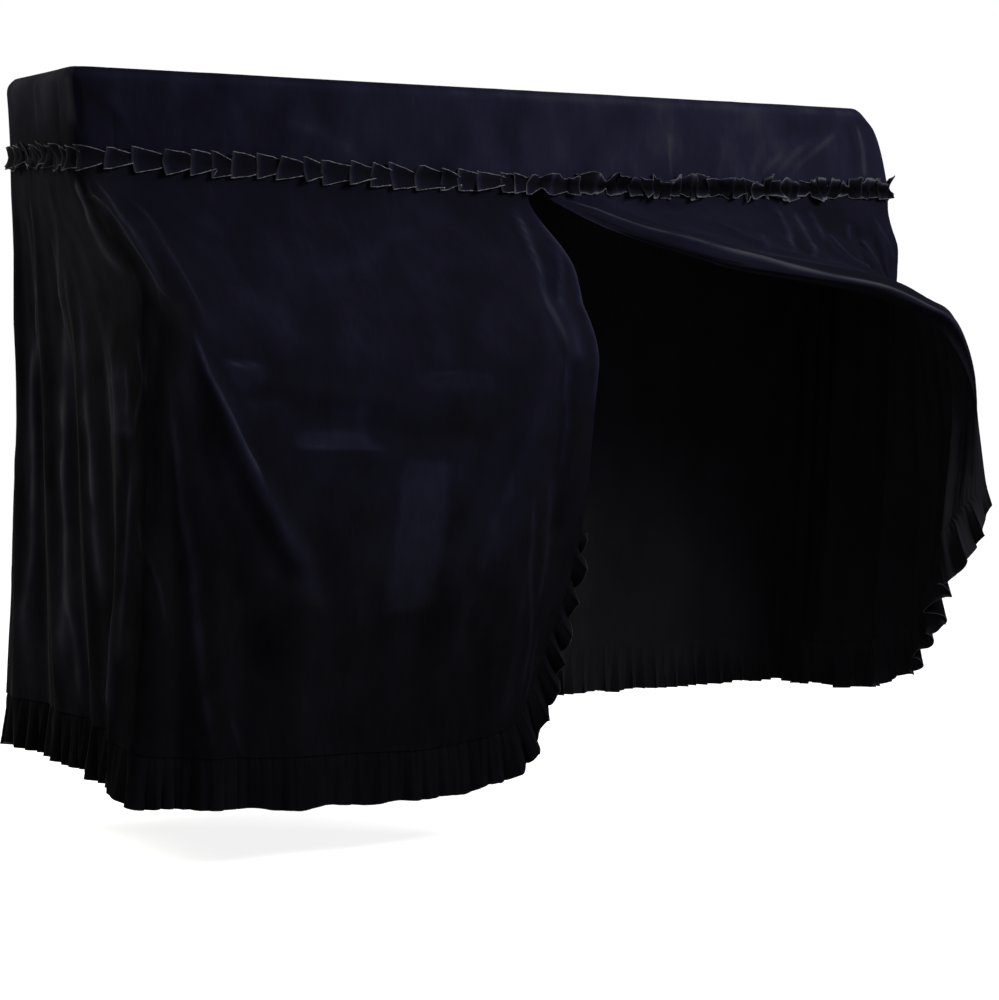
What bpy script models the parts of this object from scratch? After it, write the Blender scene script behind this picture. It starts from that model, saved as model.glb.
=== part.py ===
"""Velvet cover for an upright piano: a fitted cap, a pleated trim and a draped skirt, open at the front.

Metres, +Z up, +X along the instrument's width, -Y to the front. The origin is the middle of the top panel's
underside, where the cover rests on the lid. Every sheet is a grid of points on the cloth's middle surface,
thickened to both sides.
"""

from collections import namedtuple
import math

import bpy
import numpy as np

# Cloth
VELVET = 0.002
TRIM_CLOTH = 0.0014
SEAM_GAP = 0.0003
CREASE_ANGLE = 50

# Cap: the flat top and the drop below it
CAP_HALF_WIDTH = 0.766
CAP_HALF_DEPTH = 0.145
CAP_EDGE_RADIUS = 0.020
CAP_CORNER_RADIUS = 0.034
CAP_TOP_INSET = 0.0009
EDGE_STEPS = 3
DROP_STEPS = 4
DROP_BULGE = 0.65
# Grid columns on each stretch of the cap, from the front left corner round to it again
CAP_COLUMNS = (2, 30, 2, 2, 5, 2, 2, 16, 2, 2, 5, 2)

# The line where cap and skirt meet, under the trim: a row for each place along it.
# side counts the four edges from the front left corner: front 0-1, right 1-2, back 2-3, left 3-4.
RingPlace = namedtuple("RingPlace", "side x y z")
RING = (
    RingPlace(0.00, -0.757, -0.150, -0.138),
    RingPlace(0.25, -0.364, -0.152, -0.147),
    RingPlace(0.51, 0.045, -0.153, -0.156),
    RingPlace(0.75, 0.426, -0.153, -0.154),
    RingPlace(1.00, 0.824, -0.150, -0.144),
    RingPlace(2.00, 0.814, 0.154, -0.136),
    RingPlace(2.50, 0.018, 0.157, -0.130),
    RingPlace(3.00, -0.757, 0.152, -0.123),
    RingPlace(4.00, -0.757, -0.150, -0.138),
)
EDGE_END = 0.999  # just before an edge's far corner

# The drop's four seams stand this far from the middle, at the front and at the back
CAP_SEAM = 0.695

# Pleated trim
TRIM_HEIGHT = 0.040
TRIM_PLEAT = 0.042
TRIM_STAND_OUT = 0.013
TRIM_STITCH_STAND_OUT = 0.006
TRIM_COVERS = 0.026
TRIM_CLEARANCE = 0.0009
TRIM_SAMPLES = 1201
TRIM_CORNER_EASE = 0.25
TRIM_PEAK_DROP = 0.003
PLEAT_FOOT = 0.02
PLEAT_PEAK = 0.30
# What makes the pleats uneven, as (size, pace) pairs of waves along the trim
PLEAT_WAVER = ((0.12, 2.4), (0.08, 5.1))
STAND_WAVER = ((0.18, 1.7),)
HEIGHT_WAVER = ((0.0015, 0.9),)
LINE_WAVER = ((0.002, 0.23),)

# Hem frills
FRILL_DEPTH = 0.078
FRILL_WAVE = 0.012
FRILL_SEWN_WAVE = 0.002
FRILL_TIP_DEPTH = 0.036
FRILL_SLIT_DEPTH = 0.014
FRILL_FALL = 1.2
FRILL_GAP = 0.0006
FRILL_ROWS = (0.0, 0.45, 1.0)
FRILL_LEAN_OUT = 0.004
FRILL_END_TURNS = 3
FRILL_SLIT_ROWS = 6
FRILL_TIP_COLUMNS = 9
FRILL_BACK_DRAW = 0.010
FRILL_WAVE_WAVER = ((0.25, 1.3),)
FRILL_DEPTH_WAVER = ((0.03, 0.7),)

# Skirt: each curtain is a row of threads that hang from the ring. "at" is the share of the cloth's width,
# "side" the place on the ring, "steps" the grid's columns up to the next thread, and "lean" how far the
# thread has gone to the right when it leaves the trim. The other columns place its shoulder, knee, shin and hem.
Thread = namedtuple("Thread", "at side steps lean shoulder knee shin hem")
LEFT_STATIONS = (0.0, 0.03, 0.20, 0.36, 0.62, 1.0)
LEFT_ROWS = (1, 4, 4, 5, 5)
LEFT_THREADS = (
    Thread(0.00, 3.00, 5, 0, (-0.740, 0.152, -0.29), (-0.736, 0.152, -0.46),
           (-0.748, 0.152, -0.70), (-0.764, 0.152, -0.990)),
    Thread(0.15, 3.30, 7, 0, (-0.744, 0.055, -0.29), (-0.742, 0.035, -0.46),
           (-0.752, 0.000, -0.70), (-0.764, -0.040, -0.990)),
    Thread(0.32, 3.70, 4, 0, (-0.750, -0.110, -0.28), (-0.752, -0.200, -0.43),
           (-0.760, -0.240, -0.70), (-0.772, -0.285, -0.995)),
    Thread(0.40, 3.92, 2, 0, (-0.757, -0.228, -0.26), (-0.762, -0.352, -0.385),
           (-0.770, -0.375, -0.69), (-0.792, -0.366, -1.005)),
    Thread(0.44, 4.00, 2, 0, (-0.755, -0.265, -0.25), (-0.757, -0.404, -0.370),
           (-0.764, -0.420, -0.69), (-0.788, -0.416, -1.016)),
    Thread(0.48, 4.03, 5, 0, (-0.712, -0.268, -0.262), (-0.712, -0.408, -0.395),
           (-0.716, -0.430, -0.70), (-0.728, -0.432, -1.025)),
    Thread(0.62, 4.13, 6, 0, (-0.553, -0.258, -0.29), (-0.556, -0.398, -0.445),
           (-0.558, -0.430, -0.71), (-0.560, -0.434, -1.036)),
    Thread(0.78, 4.28, 7, 0, (-0.318, -0.256, -0.30), (-0.324, -0.398, -0.462),
           (-0.332, -0.428, -0.71), (-0.346, -0.432, -1.043)),
    Thread(0.93, 4.42, 3, 0, (-0.068, -0.260, -0.308), (-0.088, -0.406, -0.460),
           (-0.112, -0.424, -0.71), (-0.168, -0.430, -1.026)),
    Thread(1.00, 4.51, 0, 0, (0.057, -0.265, -0.312), (0.018, -0.414, -0.466),
           (-0.018, -0.422, -0.71), (-0.116, -0.424, -0.975)),
)
RIGHT_STATIONS = (0.0, 0.03, 0.38, 0.72, 0.85, 1.0)
RIGHT_ROWS = (1, 6, 6, 3, 3)
RIGHT_THREADS = (
    Thread(0.00, 0.515, 3, 0.038, (0.335, -0.262, -0.284), (0.700, -0.388, -0.370),
           (0.798, -0.399, -0.500), (0.831, -0.402, -0.670)),
    Thread(0.05, 0.532, 3, 0.042, (0.338, -0.292, -0.282), (0.722, -0.408, -0.358),
           (0.808, -0.398, -0.505), (0.814, -0.396, -0.690)),
    Thread(0.11, 0.560, 4, 0.040, (0.352, -0.268, -0.256), (0.738, -0.392, -0.344),
           (0.808, -0.380, -0.510), (0.788, -0.381, -0.722)),
    Thread(0.26, 0.670, 4, 0.025, (0.470, -0.232, -0.256), (0.760, -0.320, -0.350),
           (0.804, -0.328, -0.560), (0.777, -0.335, -0.796)),
    Thread(0.42, 0.800, 4, 0.015, (0.610, -0.192, -0.256), (0.784, -0.248, -0.354),
           (0.816, -0.262, -0.620), (0.788, -0.286, -0.878)),
    Thread(0.57, 0.920, 4, 0.005, (0.746, -0.166, -0.260), (0.812, -0.186, -0.366),
           (0.822, -0.200, -0.650), (0.794, -0.226, -0.937)),
    Thread(0.68, 1.000, 4, 0, (0.836, -0.146, -0.262), (0.838, -0.138, -0.400),
           (0.824, -0.138, -0.660), (0.791, -0.148, -0.964)),
    Thread(0.84, 1.520, 5, 0, (0.830, 0.012, -0.262), (0.826, 0.012, -0.420),
           (0.812, 0.012, -0.680), (0.790, 0.012, -0.982)),
    Thread(1.00, 2.000, 0, 0, (0.820, 0.154, -0.262), (0.812, 0.154, -0.420),
           (0.800, 0.154, -0.680), (0.784, 0.154, -0.985)),
)

# Folds: straight creases across a sheet, from one place to another. Places are shares of the cloth's width
# and length, width and height are metres. A height below zero is a trough.
Fold = namedtuple("Fold", "from_across from_down to_across to_down width height")
LEFT_FOLDS = (
    Fold(0.055, 0.06, 0.060, 1.00, 0.022, 0.012),
    Fold(0.115, 0.10, 0.125, 1.00, 0.022, -0.010),
    Fold(0.175, 0.06, 0.190, 1.00, 0.020, 0.014),
    Fold(0.230, 0.14, 0.245, 1.00, 0.020, -0.012),
    Fold(0.285, 0.22, 0.300, 1.00, 0.018, 0.013),
    Fold(0.335, 0.30, 0.350, 1.00, 0.016, -0.010),
    Fold(0.375, 0.34, 0.392, 1.00, 0.016, 0.010),
    Fold(0.445, 0.07, 0.452, 0.34, 0.015, 0.009),
    Fold(0.475, 0.09, 0.485, 0.30, 0.015, -0.008),
    Fold(0.505, 0.07, 0.520, 0.34, 0.016, 0.008),
    Fold(0.495, 0.35, 0.645, 0.66, 0.018, 0.013),
    Fold(0.470, 0.46, 0.490, 1.00, 0.024, -0.014),
    Fold(0.535, 0.60, 0.530, 1.00, 0.024, 0.010),
    Fold(0.600, 0.70, 0.570, 1.00, 0.026, -0.009),
    Fold(0.655, 0.64, 0.640, 1.00, 0.028, 0.007),
    Fold(0.560, 0.39, 0.760, 0.41, 0.016, 0.006),
    Fold(0.620, 0.44, 0.860, 0.47, 0.018, -0.005),
    Fold(0.640, 0.49, 0.800, 0.50, 0.016, 0.004),
    Fold(0.760, 0.60, 0.720, 1.00, 0.030, -0.006),
    Fold(0.850, 0.66, 0.800, 1.00, 0.030, 0.007),
    Fold(0.965, 0.08, 0.955, 0.62, 0.016, -0.008),
    Fold(0.930, 0.30, 0.900, 1.00, 0.024, 0.007),
)
RIGHT_FOLDS = (
    Fold(0.300, 0.10, 0.250, 0.60, 0.018, 0.007),
    Fold(0.440, 0.08, 0.360, 0.58, 0.016, -0.007),
    Fold(0.510, 0.08, 0.440, 0.64, 0.016, 0.008),
    Fold(0.590, 0.10, 0.540, 0.62, 0.014, -0.006),
    Fold(0.640, 0.10, 0.620, 0.90, 0.016, 0.007),
    Fold(0.200, 0.74, 0.180, 1.00, 0.020, -0.012),
    Fold(0.330, 0.74, 0.310, 1.00, 0.020, 0.012),
    Fold(0.460, 0.74, 0.450, 1.00, 0.022, -0.012),
    Fold(0.760, 0.10, 0.750, 1.00, 0.020, 0.011),
    Fold(0.840, 0.16, 0.840, 1.00, 0.020, -0.009),
    Fold(0.920, 0.10, 0.920, 1.00, 0.020, 0.010),
)
BACK_FOLDS = (
    Fold(0.10, 0.06, 0.11, 1.00, 0.040, 0.010),
    Fold(0.27, 0.06, 0.25, 1.00, 0.045, 0.012),
    Fold(0.46, 0.06, 0.47, 1.00, 0.040, 0.009),
    Fold(0.66, 0.06, 0.64, 1.00, 0.045, 0.012),
    Fold(0.88, 0.06, 0.89, 1.00, 0.040, 0.010),
)
# On the cap's drop, "across" is the side divided by four.
CAP_FOLDS = (
    Fold(0.232, 0.22, 0.214, 0.92, 0.020, 0.0035),
    Fold(0.222, 0.20, 0.196, 0.92, 0.018, -0.003),
    Fold(0.205, 0.30, 0.180, 0.94, 0.020, 0.003),
    Fold(0.030, 0.24, 0.055, 0.94, 0.024, -0.003),
    Fold(0.048, 0.30, 0.085, 0.94, 0.024, 0.0025),
    Fold(0.880, 0.30, 0.882, 0.94, 0.022, 0.003),
    Fold(0.955, 0.30, 0.950, 0.94, 0.022, -0.003),
)

# Flat width and length of each piece the folds lie on
LEFT_FLAT = (1.30, 0.98)
RIGHT_FLAT = (1.16, 0.98)
BACK_FLAT = (1.50, 0.90)
CAP_FLAT = (3.70, 0.17)

# Where folds rise from flat cloth: along their own run, below the trim and beside a curtain's edges
FOLD_RISE = 0.25
FOLD_SETTLE_DOWN = 0.083
FOLD_SETTLE_ACROSS = 0.025
CAP_FADE = (0.72, 0.86)
BACK_FADE_DOWN = (0.07, 0.23)
BACK_FADE_ACROSS = 0.083
BACK_COLUMNS = 18
BACK_BOW = 0.004

VELVET_COLOUR = (0.0075, 0.0070, 0.0125, 1.0)
TRIM_COLOUR = (0.0060, 0.0060, 0.0090, 1.0)


def clear_scene():
    for thing in list(bpy.data.objects):
        bpy.data.objects.remove(thing, do_unlink=True)


def fabric(name, colour, roughness):
    material = bpy.data.materials.new(name)
    material.use_nodes = True
    shader = material.node_tree.nodes["Principled BSDF"]
    shader.inputs["Base Color"].default_value = colour
    shader.inputs["Roughness"].default_value = roughness
    shader.inputs["Metallic"].default_value = 0.0
    return material


def smooth_between(stops, values, at):
    """A monotone cubic curve through the values at the stops, read at each place in `at`."""
    stops = np.asarray(stops, float)
    values = np.asarray(values, float)
    at = np.asarray(at, float)
    spans = np.diff(stops).reshape((-1,) + (1,) * (values.ndim - 1))
    slopes = np.diff(values, axis=0) / spans
    before, after = slopes[:-1], slopes[1:]
    same_way = before * after > 0
    total = np.where(same_way, before + after, 1.0)
    inner = np.where(same_way, 2 * before * after / total, 0.0)
    tangents = np.concatenate([slopes[:1], inner, slopes[-1:]])
    index = np.clip(np.searchsorted(stops, at, side="right") - 1, 0, len(stops) - 2)
    span = stops[index + 1] - stops[index]
    share = ((at - stops[index]) / span).reshape((-1,) + (1,) * (values.ndim - 1))
    span = span.reshape(share.shape)
    start, end = values[index], values[index + 1]
    leave, arrive = tangents[index] * span, tangents[index + 1] * span
    squared, cubed = share**2, share**3
    return (
        (2 * cubed - 3 * squared + 1) * start
        + (cubed - 2 * squared + share) * leave
        + (3 * squared - 2 * cubed) * end
        + (cubed - squared) * arrive
    )


def stops_between(stops, steps):
    """Places from the first stop to the last, with the given number of steps in each span."""
    places = [
        np.linspace(start, end, count, endpoint=False)
        for start, end, count in zip(stops[:-1], stops[1:], steps)
    ]
    return np.concatenate(places + [[stops[-1]]])


def waver(turn, waves):
    """An uneven wave: the sum of sines of the given sizes and paces."""
    return sum(size * np.sin(turn * pace) for size, pace in waves)


def unit(vectors):
    return vectors / np.maximum(np.linalg.norm(vectors, axis=-1, keepdims=True), 1e-12)


def rounded_corner(point_at, side, radius):
    """Rounds a line's four corners: near a corner it follows a curve, not the two edges."""
    corner = round(side)
    half_way = point_at(corner + math.copysign(0.5, side - corner))
    edge = math.dist(point_at(corner)[:2], half_way[:2]) * 2
    away = abs(side - corner) * edge
    if away >= radius:
        return point_at(side)
    before = point_at(corner - radius / edge_length(point_at, corner - 1))
    after = point_at(corner + radius / edge_length(point_at, corner))
    share = 0.5 + math.copysign(0.5 * away / radius, side - corner)
    middle = point_at(corner)
    return (1 - share) ** 2 * before + 2 * share * (1 - share) * middle + share**2 * after


def edge_length(point_at, side):
    return math.dist(point_at(side % 4)[:2], point_at(side % 4 + EDGE_END)[:2])


RING_TABLE = np.array(RING)


def ring_line(side):
    place = side % 4
    columns = [np.interp(place, RING_TABLE[:, 0], RING_TABLE[:, column]) for column in (1, 2, 3)]
    return np.array(columns)


def ring_point(side):
    """Where cap and skirt meet, with the cover's corners rounded."""
    return rounded_corner(ring_line, side, CAP_CORNER_RADIUS)


def lid_line(side, inset):
    """The outline of the cap's top, drawn in by `inset`, with square corners.

    Between the drop's seams it stands straight above the ring, and beyond them it takes up the ring's flare.
    """
    half_width = CAP_HALF_WIDTH - inset
    half_depth = CAP_HALF_DEPTH - inset
    place = side % 4
    corners = (-half_depth, -half_depth, half_depth, half_depth, -half_depth)
    y = np.interp(place, range(5), corners)
    edge = int(place)
    if edge in (1, 3):
        x = half_width if edge == 1 else -half_width
    else:
        ends = sorted((ring_line(edge)[0], ring_line(edge + EDGE_END)[0]))
        stops = (ends[0], -CAP_SEAM, CAP_SEAM, ends[1])
        x = np.interp(ring_line(side)[0], stops, (-half_width, -CAP_SEAM, CAP_SEAM, half_width))
    return np.array([x, y, VELVET / 2])


def lid_point(side, inset):
    return rounded_corner(lambda place: lid_line(place, inset), side, CAP_CORNER_RADIUS - inset * 0.5)


def cap_sides():
    """The grid's columns round the cap: close together at the corners, wide along the edges."""
    stops = [0.0]
    for edge in range(4):
        corner = CAP_CORNER_RADIUS / edge_length(ring_line, edge)
        stops += [edge + corner, edge + 1 - corner, edge + 1]
    return stops_between(np.array(stops), CAP_COLUMNS)[:-1]


def grid_normals(points, closed=False):
    """Unit normals of a grid, pointing out where its columns run clockwise seen from above."""
    if closed:
        along = np.roll(points, -1, axis=1) - np.roll(points, 1, axis=1)
    else:
        along = np.gradient(points, axis=1)
    down = np.gradient(points, axis=0)
    return unit(np.cross(down, along))


def fold_heights(folds, across, down, flat):
    """How far the folds lift each grid point off the sheet."""
    width, length = flat
    x = across * width
    y = down * length
    lift = np.zeros_like(x)
    for fold in folds:
        start = np.array([fold.from_across * width, fold.from_down * length])
        run = np.array([fold.to_across * width, fold.to_down * length]) - start
        share = ((x - start[0]) * run[0] + (y - start[1]) * run[1]) / (run @ run)
        inside = np.clip(share, 0.0, 1.0)
        away = np.hypot(x - start[0] - inside * run[0], y - start[1] - inside * run[1])
        rise = np.clip(share / FOLD_RISE, 0.0, 1.0)
        lift += fold.height * rise * np.exp(-((away / fold.width) ** 2))
    return lift


def sheet_mesh(name, points, normals, thickness, material, closed=False):
    """One closed solid: the grid moved out and in by half the thickness, with a rim round its open edges."""
    rows, columns = points.shape[:2]
    outer = points + normals * thickness / 2
    inner = points - normals * thickness / 2
    vertices = np.concatenate([outer.reshape(-1, 3), inner.reshape(-1, 3)])
    count = rows * columns
    faces = []
    spans = columns if closed else columns - 1

    def corner(row, column):
        return row * columns + column % columns

    for row in range(rows - 1):
        for column in range(spans):
            a, b = corner(row, column), corner(row, column + 1)
            c, d = corner(row + 1, column + 1), corner(row + 1, column)
            faces.append((a, d, c, b))
            faces.append((a + count, b + count, c + count, d + count))
    for column in range(spans):
        a, b = corner(0, column), corner(0, column + 1)
        faces.append((a, b, b + count, a + count))
        a, b = corner(rows - 1, column), corner(rows - 1, column + 1)
        faces.append((b, a, a + count, b + count))
    if not closed:
        for row in range(rows - 1):
            a, d = corner(row, 0), corner(row + 1, 0)
            faces.append((d, a, a + count, d + count))
            a, d = corner(row, columns - 1), corner(row + 1, columns - 1)
            faces.append((a, d, d + count, a + count))
    mesh = bpy.data.meshes.new(name)
    mesh.from_pydata([tuple(vertex) for vertex in vertices], [], faces)
    mesh.materials.append(material)
    mesh.validate()
    mesh.shade_smooth()
    mesh.set_sharp_from_angle(angle=math.radians(CREASE_ANGLE))
    thing = bpy.data.objects.new(name, mesh)
    bpy.context.scene.collection.objects.link(thing)
    return thing


def flatten(normals, directions):
    """Normals with their part along the directions taken out."""
    directions = unit(np.asarray(directions, float))
    along = (normals * directions).sum(axis=-1, keepdims=True)
    return unit(normals - along * directions)


def build_cap(velvet):
    sides = cap_sides()
    rows = []
    for step in range(EDGE_STEPS + 1):
        angle = math.radians(90) * step / EDGE_STEPS
        inset = CAP_EDGE_RADIUS * (1 - math.sin(angle))
        fall = CAP_EDGE_RADIUS * (1 - math.cos(angle))
        rows.append([lid_point(side, inset) - (0, 0, fall) for side in sides])
    shoulder = np.array(rows[-1])
    ring = np.array([ring_point(side) for side in sides]) + (0, 0, SEAM_GAP / 2)
    for step in range(1, DROP_STEPS + 1):
        share = step / DROP_STEPS
        rows.append(shoulder + (ring - shoulder) * (share**DROP_BULGE, share, share))
    points = np.array(rows)
    down = np.linspace(0, 1, len(rows))[:, None] + np.zeros(len(sides))
    across = np.zeros((len(rows), 1)) + sides / 4
    normals = grid_normals(points, closed=True)
    lift = fold_heights(CAP_FOLDS, across, down, CAP_FLAT) * np.interp(down, CAP_FADE, (1.0, 0.0))
    points = points + normals * lift[..., None]
    seams = [seam_column(points, x, y) for x, y in ((-1, -1), (1, -1), (1, 1), (-1, 1))]
    for column in seams:
        slide_to_seam(points, column)
    normals = grid_normals(points, closed=True)
    normals[0] = (0, 0, 1)
    normals[-1] = flatten(normals[-1], (0, 0, 1))
    build_cap_top(points[0], velvet)
    names = ("cap_front", "cap_end_right", "cap_back", "cap_end_left")
    for name, start, stop in zip(names, seams, seams[1:] + seams[:1]):
        if stop < start:
            stop += len(sides)
        picked = [index % len(sides) for index in range(start, stop + 1)]
        piece = points[:, picked].copy()
        facing = normals[:, picked].copy()
        for column, inward in ((0, 1), (-1, -2)):
            facing[:, column] = flatten(facing[:, column], (1, 0, 0))
            way_in = math.copysign(SEAM_GAP / 2, piece[0, inward, 0] - piece[0, column, 0])
            piece[:, column, 0] += way_in
        sheet_mesh(name, piece, facing, VELVET, velvet)


def seam_column(points, x_way, y_way):
    """The grid column nearest to one of the drop's seams."""
    lower = points[-1]
    away = abs(lower[:, 0] - x_way * CAP_SEAM)
    away[lower[:, 1] * y_way < 0] = math.inf
    return int(np.argmin(away))


def slide_to_seam(points, column):
    """Moves a column along the grid's rows until it stands on the seam's plane."""
    seam = math.copysign(CAP_SEAM, points[-1, column, 0])
    for row in points:
        near = row[column - 1 : column + 2]
        near = near[np.argsort(near[:, 0])]
        row[column] = [np.interp(seam, near[:, 0], near[:, axis]) for axis in range(3)]


def build_cap_top(edge, velvet):
    """The flat top panel, with its edge a seam's gap inside the drop's first row."""
    inward = -unit(edge * (1, 1, 0))
    outline = edge + inward * CAP_TOP_INSET
    count = len(outline)
    lower = [tuple(point - (0, 0, VELVET / 2)) for point in outline]
    upper = [tuple(point + (0, 0, VELVET / 2)) for point in outline]
    faces = [tuple(range(count, 2 * count)), tuple(reversed(range(count)))]
    for index in range(count):
        after = (index + 1) % count
        faces.append((index, after, after + count, index + count))
    mesh = bpy.data.meshes.new("cap_top")
    mesh.from_pydata(lower + upper, [], faces)
    mesh.materials.append(velvet)
    top = bpy.data.objects.new("cap_top", mesh)
    bpy.context.scene.collection.objects.link(top)


def build_trim(cloth):
    """The pleated strip: knife pleats held by a stitched line at mid height, flaring at both edges."""
    sides = np.linspace(0, 4, TRIM_SAMPLES)
    line = np.array([ring_point(side) for side in sides])
    lengths = np.concatenate([[0], np.cumsum(np.linalg.norm(np.diff(line, axis=0), axis=1))])
    pleats = round(lengths[-1] / TRIM_PLEAT)
    places = []
    peaks = []
    for pleat in range(pleats):
        places += [pleat + PLEAT_FOOT, pleat + PLEAT_PEAK + waver(pleat, PLEAT_WAVER)]
        peaks += [0.0, 1.0]
    peaks = np.array(peaks)
    places = np.array(places) * lengths[-1] / pleats
    along = np.array([np.interp(places, lengths, line[:, axis]) for axis in range(3)]).T
    heading = unit(np.roll(along, -1, axis=0) - np.roll(along, 1, axis=0))
    outward = unit(np.cross(heading, (0, 0, 1)))
    bend = np.linalg.norm(np.roll(along, -1, axis=0) + np.roll(along, 1, axis=0) - 2 * along, axis=1)
    valley = VELVET / 2 + SEAM_GAP + TRIM_CLOTH / 2 + TRIM_CLEARANCE + bend * TRIM_CORNER_EASE
    turn = np.arange(len(places))
    rows = []
    for level in (1, 0, -1):
        reach = TRIM_STAND_OUT if level else TRIM_STITCH_STAND_OUT
        stand = valley + (reach - valley) * peaks * (1 + waver(turn, STAND_WAVER))
        half_height = TRIM_HEIGHT / 2 - TRIM_PEAK_DROP * peaks + waver(turn, HEIGHT_WAVER)
        lift = level * half_height + waver(turn, LINE_WAVER)
        rows.append(along + outward * stand[:, None] + np.array((0, 0, 1)) * lift[:, None])
    points = np.array(rows)
    normals = grid_normals(points, closed=True)
    sheet_mesh("pleated_trim", points, normals, TRIM_CLOTH, cloth, closed=True)


def curtain_points(threads, stations, row_steps):
    """The curtain's grid before its folds: its threads hang from the ring and pass their own places."""
    at = [thread.at for thread in threads]
    columns = stops_between(at, [thread.steps for thread in threads[:-1]])
    down = stops_between(stations, row_steps)
    sides = smooth_between(at, [thread.side for thread in threads], columns)
    hung = np.array([ring_point(side) for side in sides]) - (0, 0, SEAM_GAP / 2)
    own = np.array([ring_point(thread.side) for thread in threads])
    under_trim = np.array([(thread.lean, 0.0, -TRIM_COVERS) for thread in threads])
    offsets = [np.zeros((len(threads), 3)), under_trim]
    for station in ("shoulder", "knee", "shin", "hem"):
        offsets.append(np.array([getattr(thread, station) for thread in threads]) - own)
    spread = smooth_between(at, np.stack(offsets, axis=1), columns)
    points = hung[None] + smooth_between(stations, spread.transpose(1, 0, 2), down)
    return points, columns, down


def build_curtain(name, threads, stations, row_steps, folds, flat, cloth):
    points, columns, down = curtain_points(threads, stations, row_steps)
    across = columns[None] + np.zeros((len(down), 1))
    along = down[:, None] + np.zeros((1, len(columns)))
    lift = fold_heights(folds, across, along, flat)
    settled = np.clip((along - stations[1]) / FOLD_SETTLE_DOWN, 0.0, 1.0)
    edge = np.clip(np.minimum(across, 1 - across) / FOLD_SETTLE_ACROSS, 0.0, 1.0)
    normals = grid_normals(points)
    points = points + normals * (lift * settled * edge)[..., None]
    normals = grid_normals(points)
    normals[0] = flatten(normals[0], (0, 0, 1))
    sheet_mesh(name, points, normals, VELVET, cloth)
    return points, normals


def build_back(left, right, cloth):
    """The back panel hangs between the two curtains' back edges, just inside their cloth."""
    columns = np.linspace(0, 1, BACK_COLUMNS + 1)
    clearance = VELVET / 2 + SEAM_GAP
    start = right[:, -1] + (-clearance, -VELVET / 2, 0)
    end = left[:, 0] + (clearance, -VELVET / 2, 0)
    share = columns[None, :, None]
    points = start[:, None] * (1 - share) + end[:, None] * share
    ring = np.array([ring_point(2 + place) for place in columns])
    bow = np.interp(columns, (0, 0.5, 1), (0, BACK_BOW, 0))
    points = points + bow[None, :, None] * np.array((0, 1, 0))
    points[0, 1:-1, 2] = ring[1:-1, 2] - SEAM_GAP / 2
    across = columns[None] + np.zeros((len(points), 1))
    along = np.linspace(0, 1, len(points))[:, None] + np.zeros((1, len(columns)))
    lift = fold_heights(BACK_FOLDS, across, along, BACK_FLAT)
    edge = np.clip(np.minimum(across, 1 - across) / BACK_FADE_ACROSS, 0.0, 1.0)
    settled = np.interp(along, BACK_FADE_DOWN, (0.0, 1.0))
    points = points + (lift * edge * settled)[..., None] * np.array((0, 1, 0))
    normals = grid_normals(points)
    normals[0] = flatten(normals[0], (0, 0, 1))
    normals[:, 0] = (0, 1, 0)
    normals[:, -1] = (0, 1, 0)
    sheet_mesh("panel_back", points, normals, VELVET, cloth)
    return points, normals


def build_frill(name, edge, normals, inward, depths, cloth, end_draw=0.0):
    """A gathered strip sewn along an edge: it waves more and more towards its free side."""
    segments = len(edge) - 1
    places = np.arange(0, segments + 0.25, 0.5)
    index = np.arange(segments + 1)

    def along(values):
        return np.array([np.interp(places, index, values[:, axis]) for axis in range(3)]).T

    heading = unit(np.gradient(edge, axis=0))
    outward = np.cross(heading, normals)
    outward = unit(outward * np.sign((outward * -inward).sum(axis=-1, keepdims=True)))
    base = along(edge)
    facing = unit(along(normals))
    leaving = unit(along(outward))
    falling = unit(leaving + (0, 0, -FRILL_FALL))
    depth = np.interp(places, index, depths)
    turn = np.arange(len(places))
    ends = np.clip(np.minimum(turn, len(places) - 1 - turn) / FRILL_END_TURNS, 0.0, 1.0)
    zigzag = np.where(turn % 2 == 0, -1.0, 1.0) * (1 + waver(turn, FRILL_WAVE_WAVER)) * ends
    rows = []
    for share in FRILL_ROWS:
        wave = FRILL_SEWN_WAVE + (FRILL_WAVE - FRILL_SEWN_WAVE) * share
        reach = depth * share * (1 + waver(turn, FRILL_DEPTH_WAVER))
        row = base + leaving * FRILL_GAP + falling * reach[:, None]
        row = row + facing * (zigzag * wave + FRILL_LEAN_OUT * share * ends)[:, None]
        row[0] += unit(base[1] - base[0]) * end_draw * share
        row[-1] += unit(base[-2] - base[-1]) * end_draw * share
        rows.append(row)
    points = np.array(rows)
    turned = grid_normals(points)
    if (turned[1] * facing).sum() < 0:
        points = points[:, ::-1]
        facing = facing[::-1]
        leaving = leaving[::-1]
        turned = grid_normals(points)
    turned[0] = flatten(turned[0], leaving)
    sheet_mesh(name, points, turned, TRIM_CLOTH, cloth)


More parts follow.
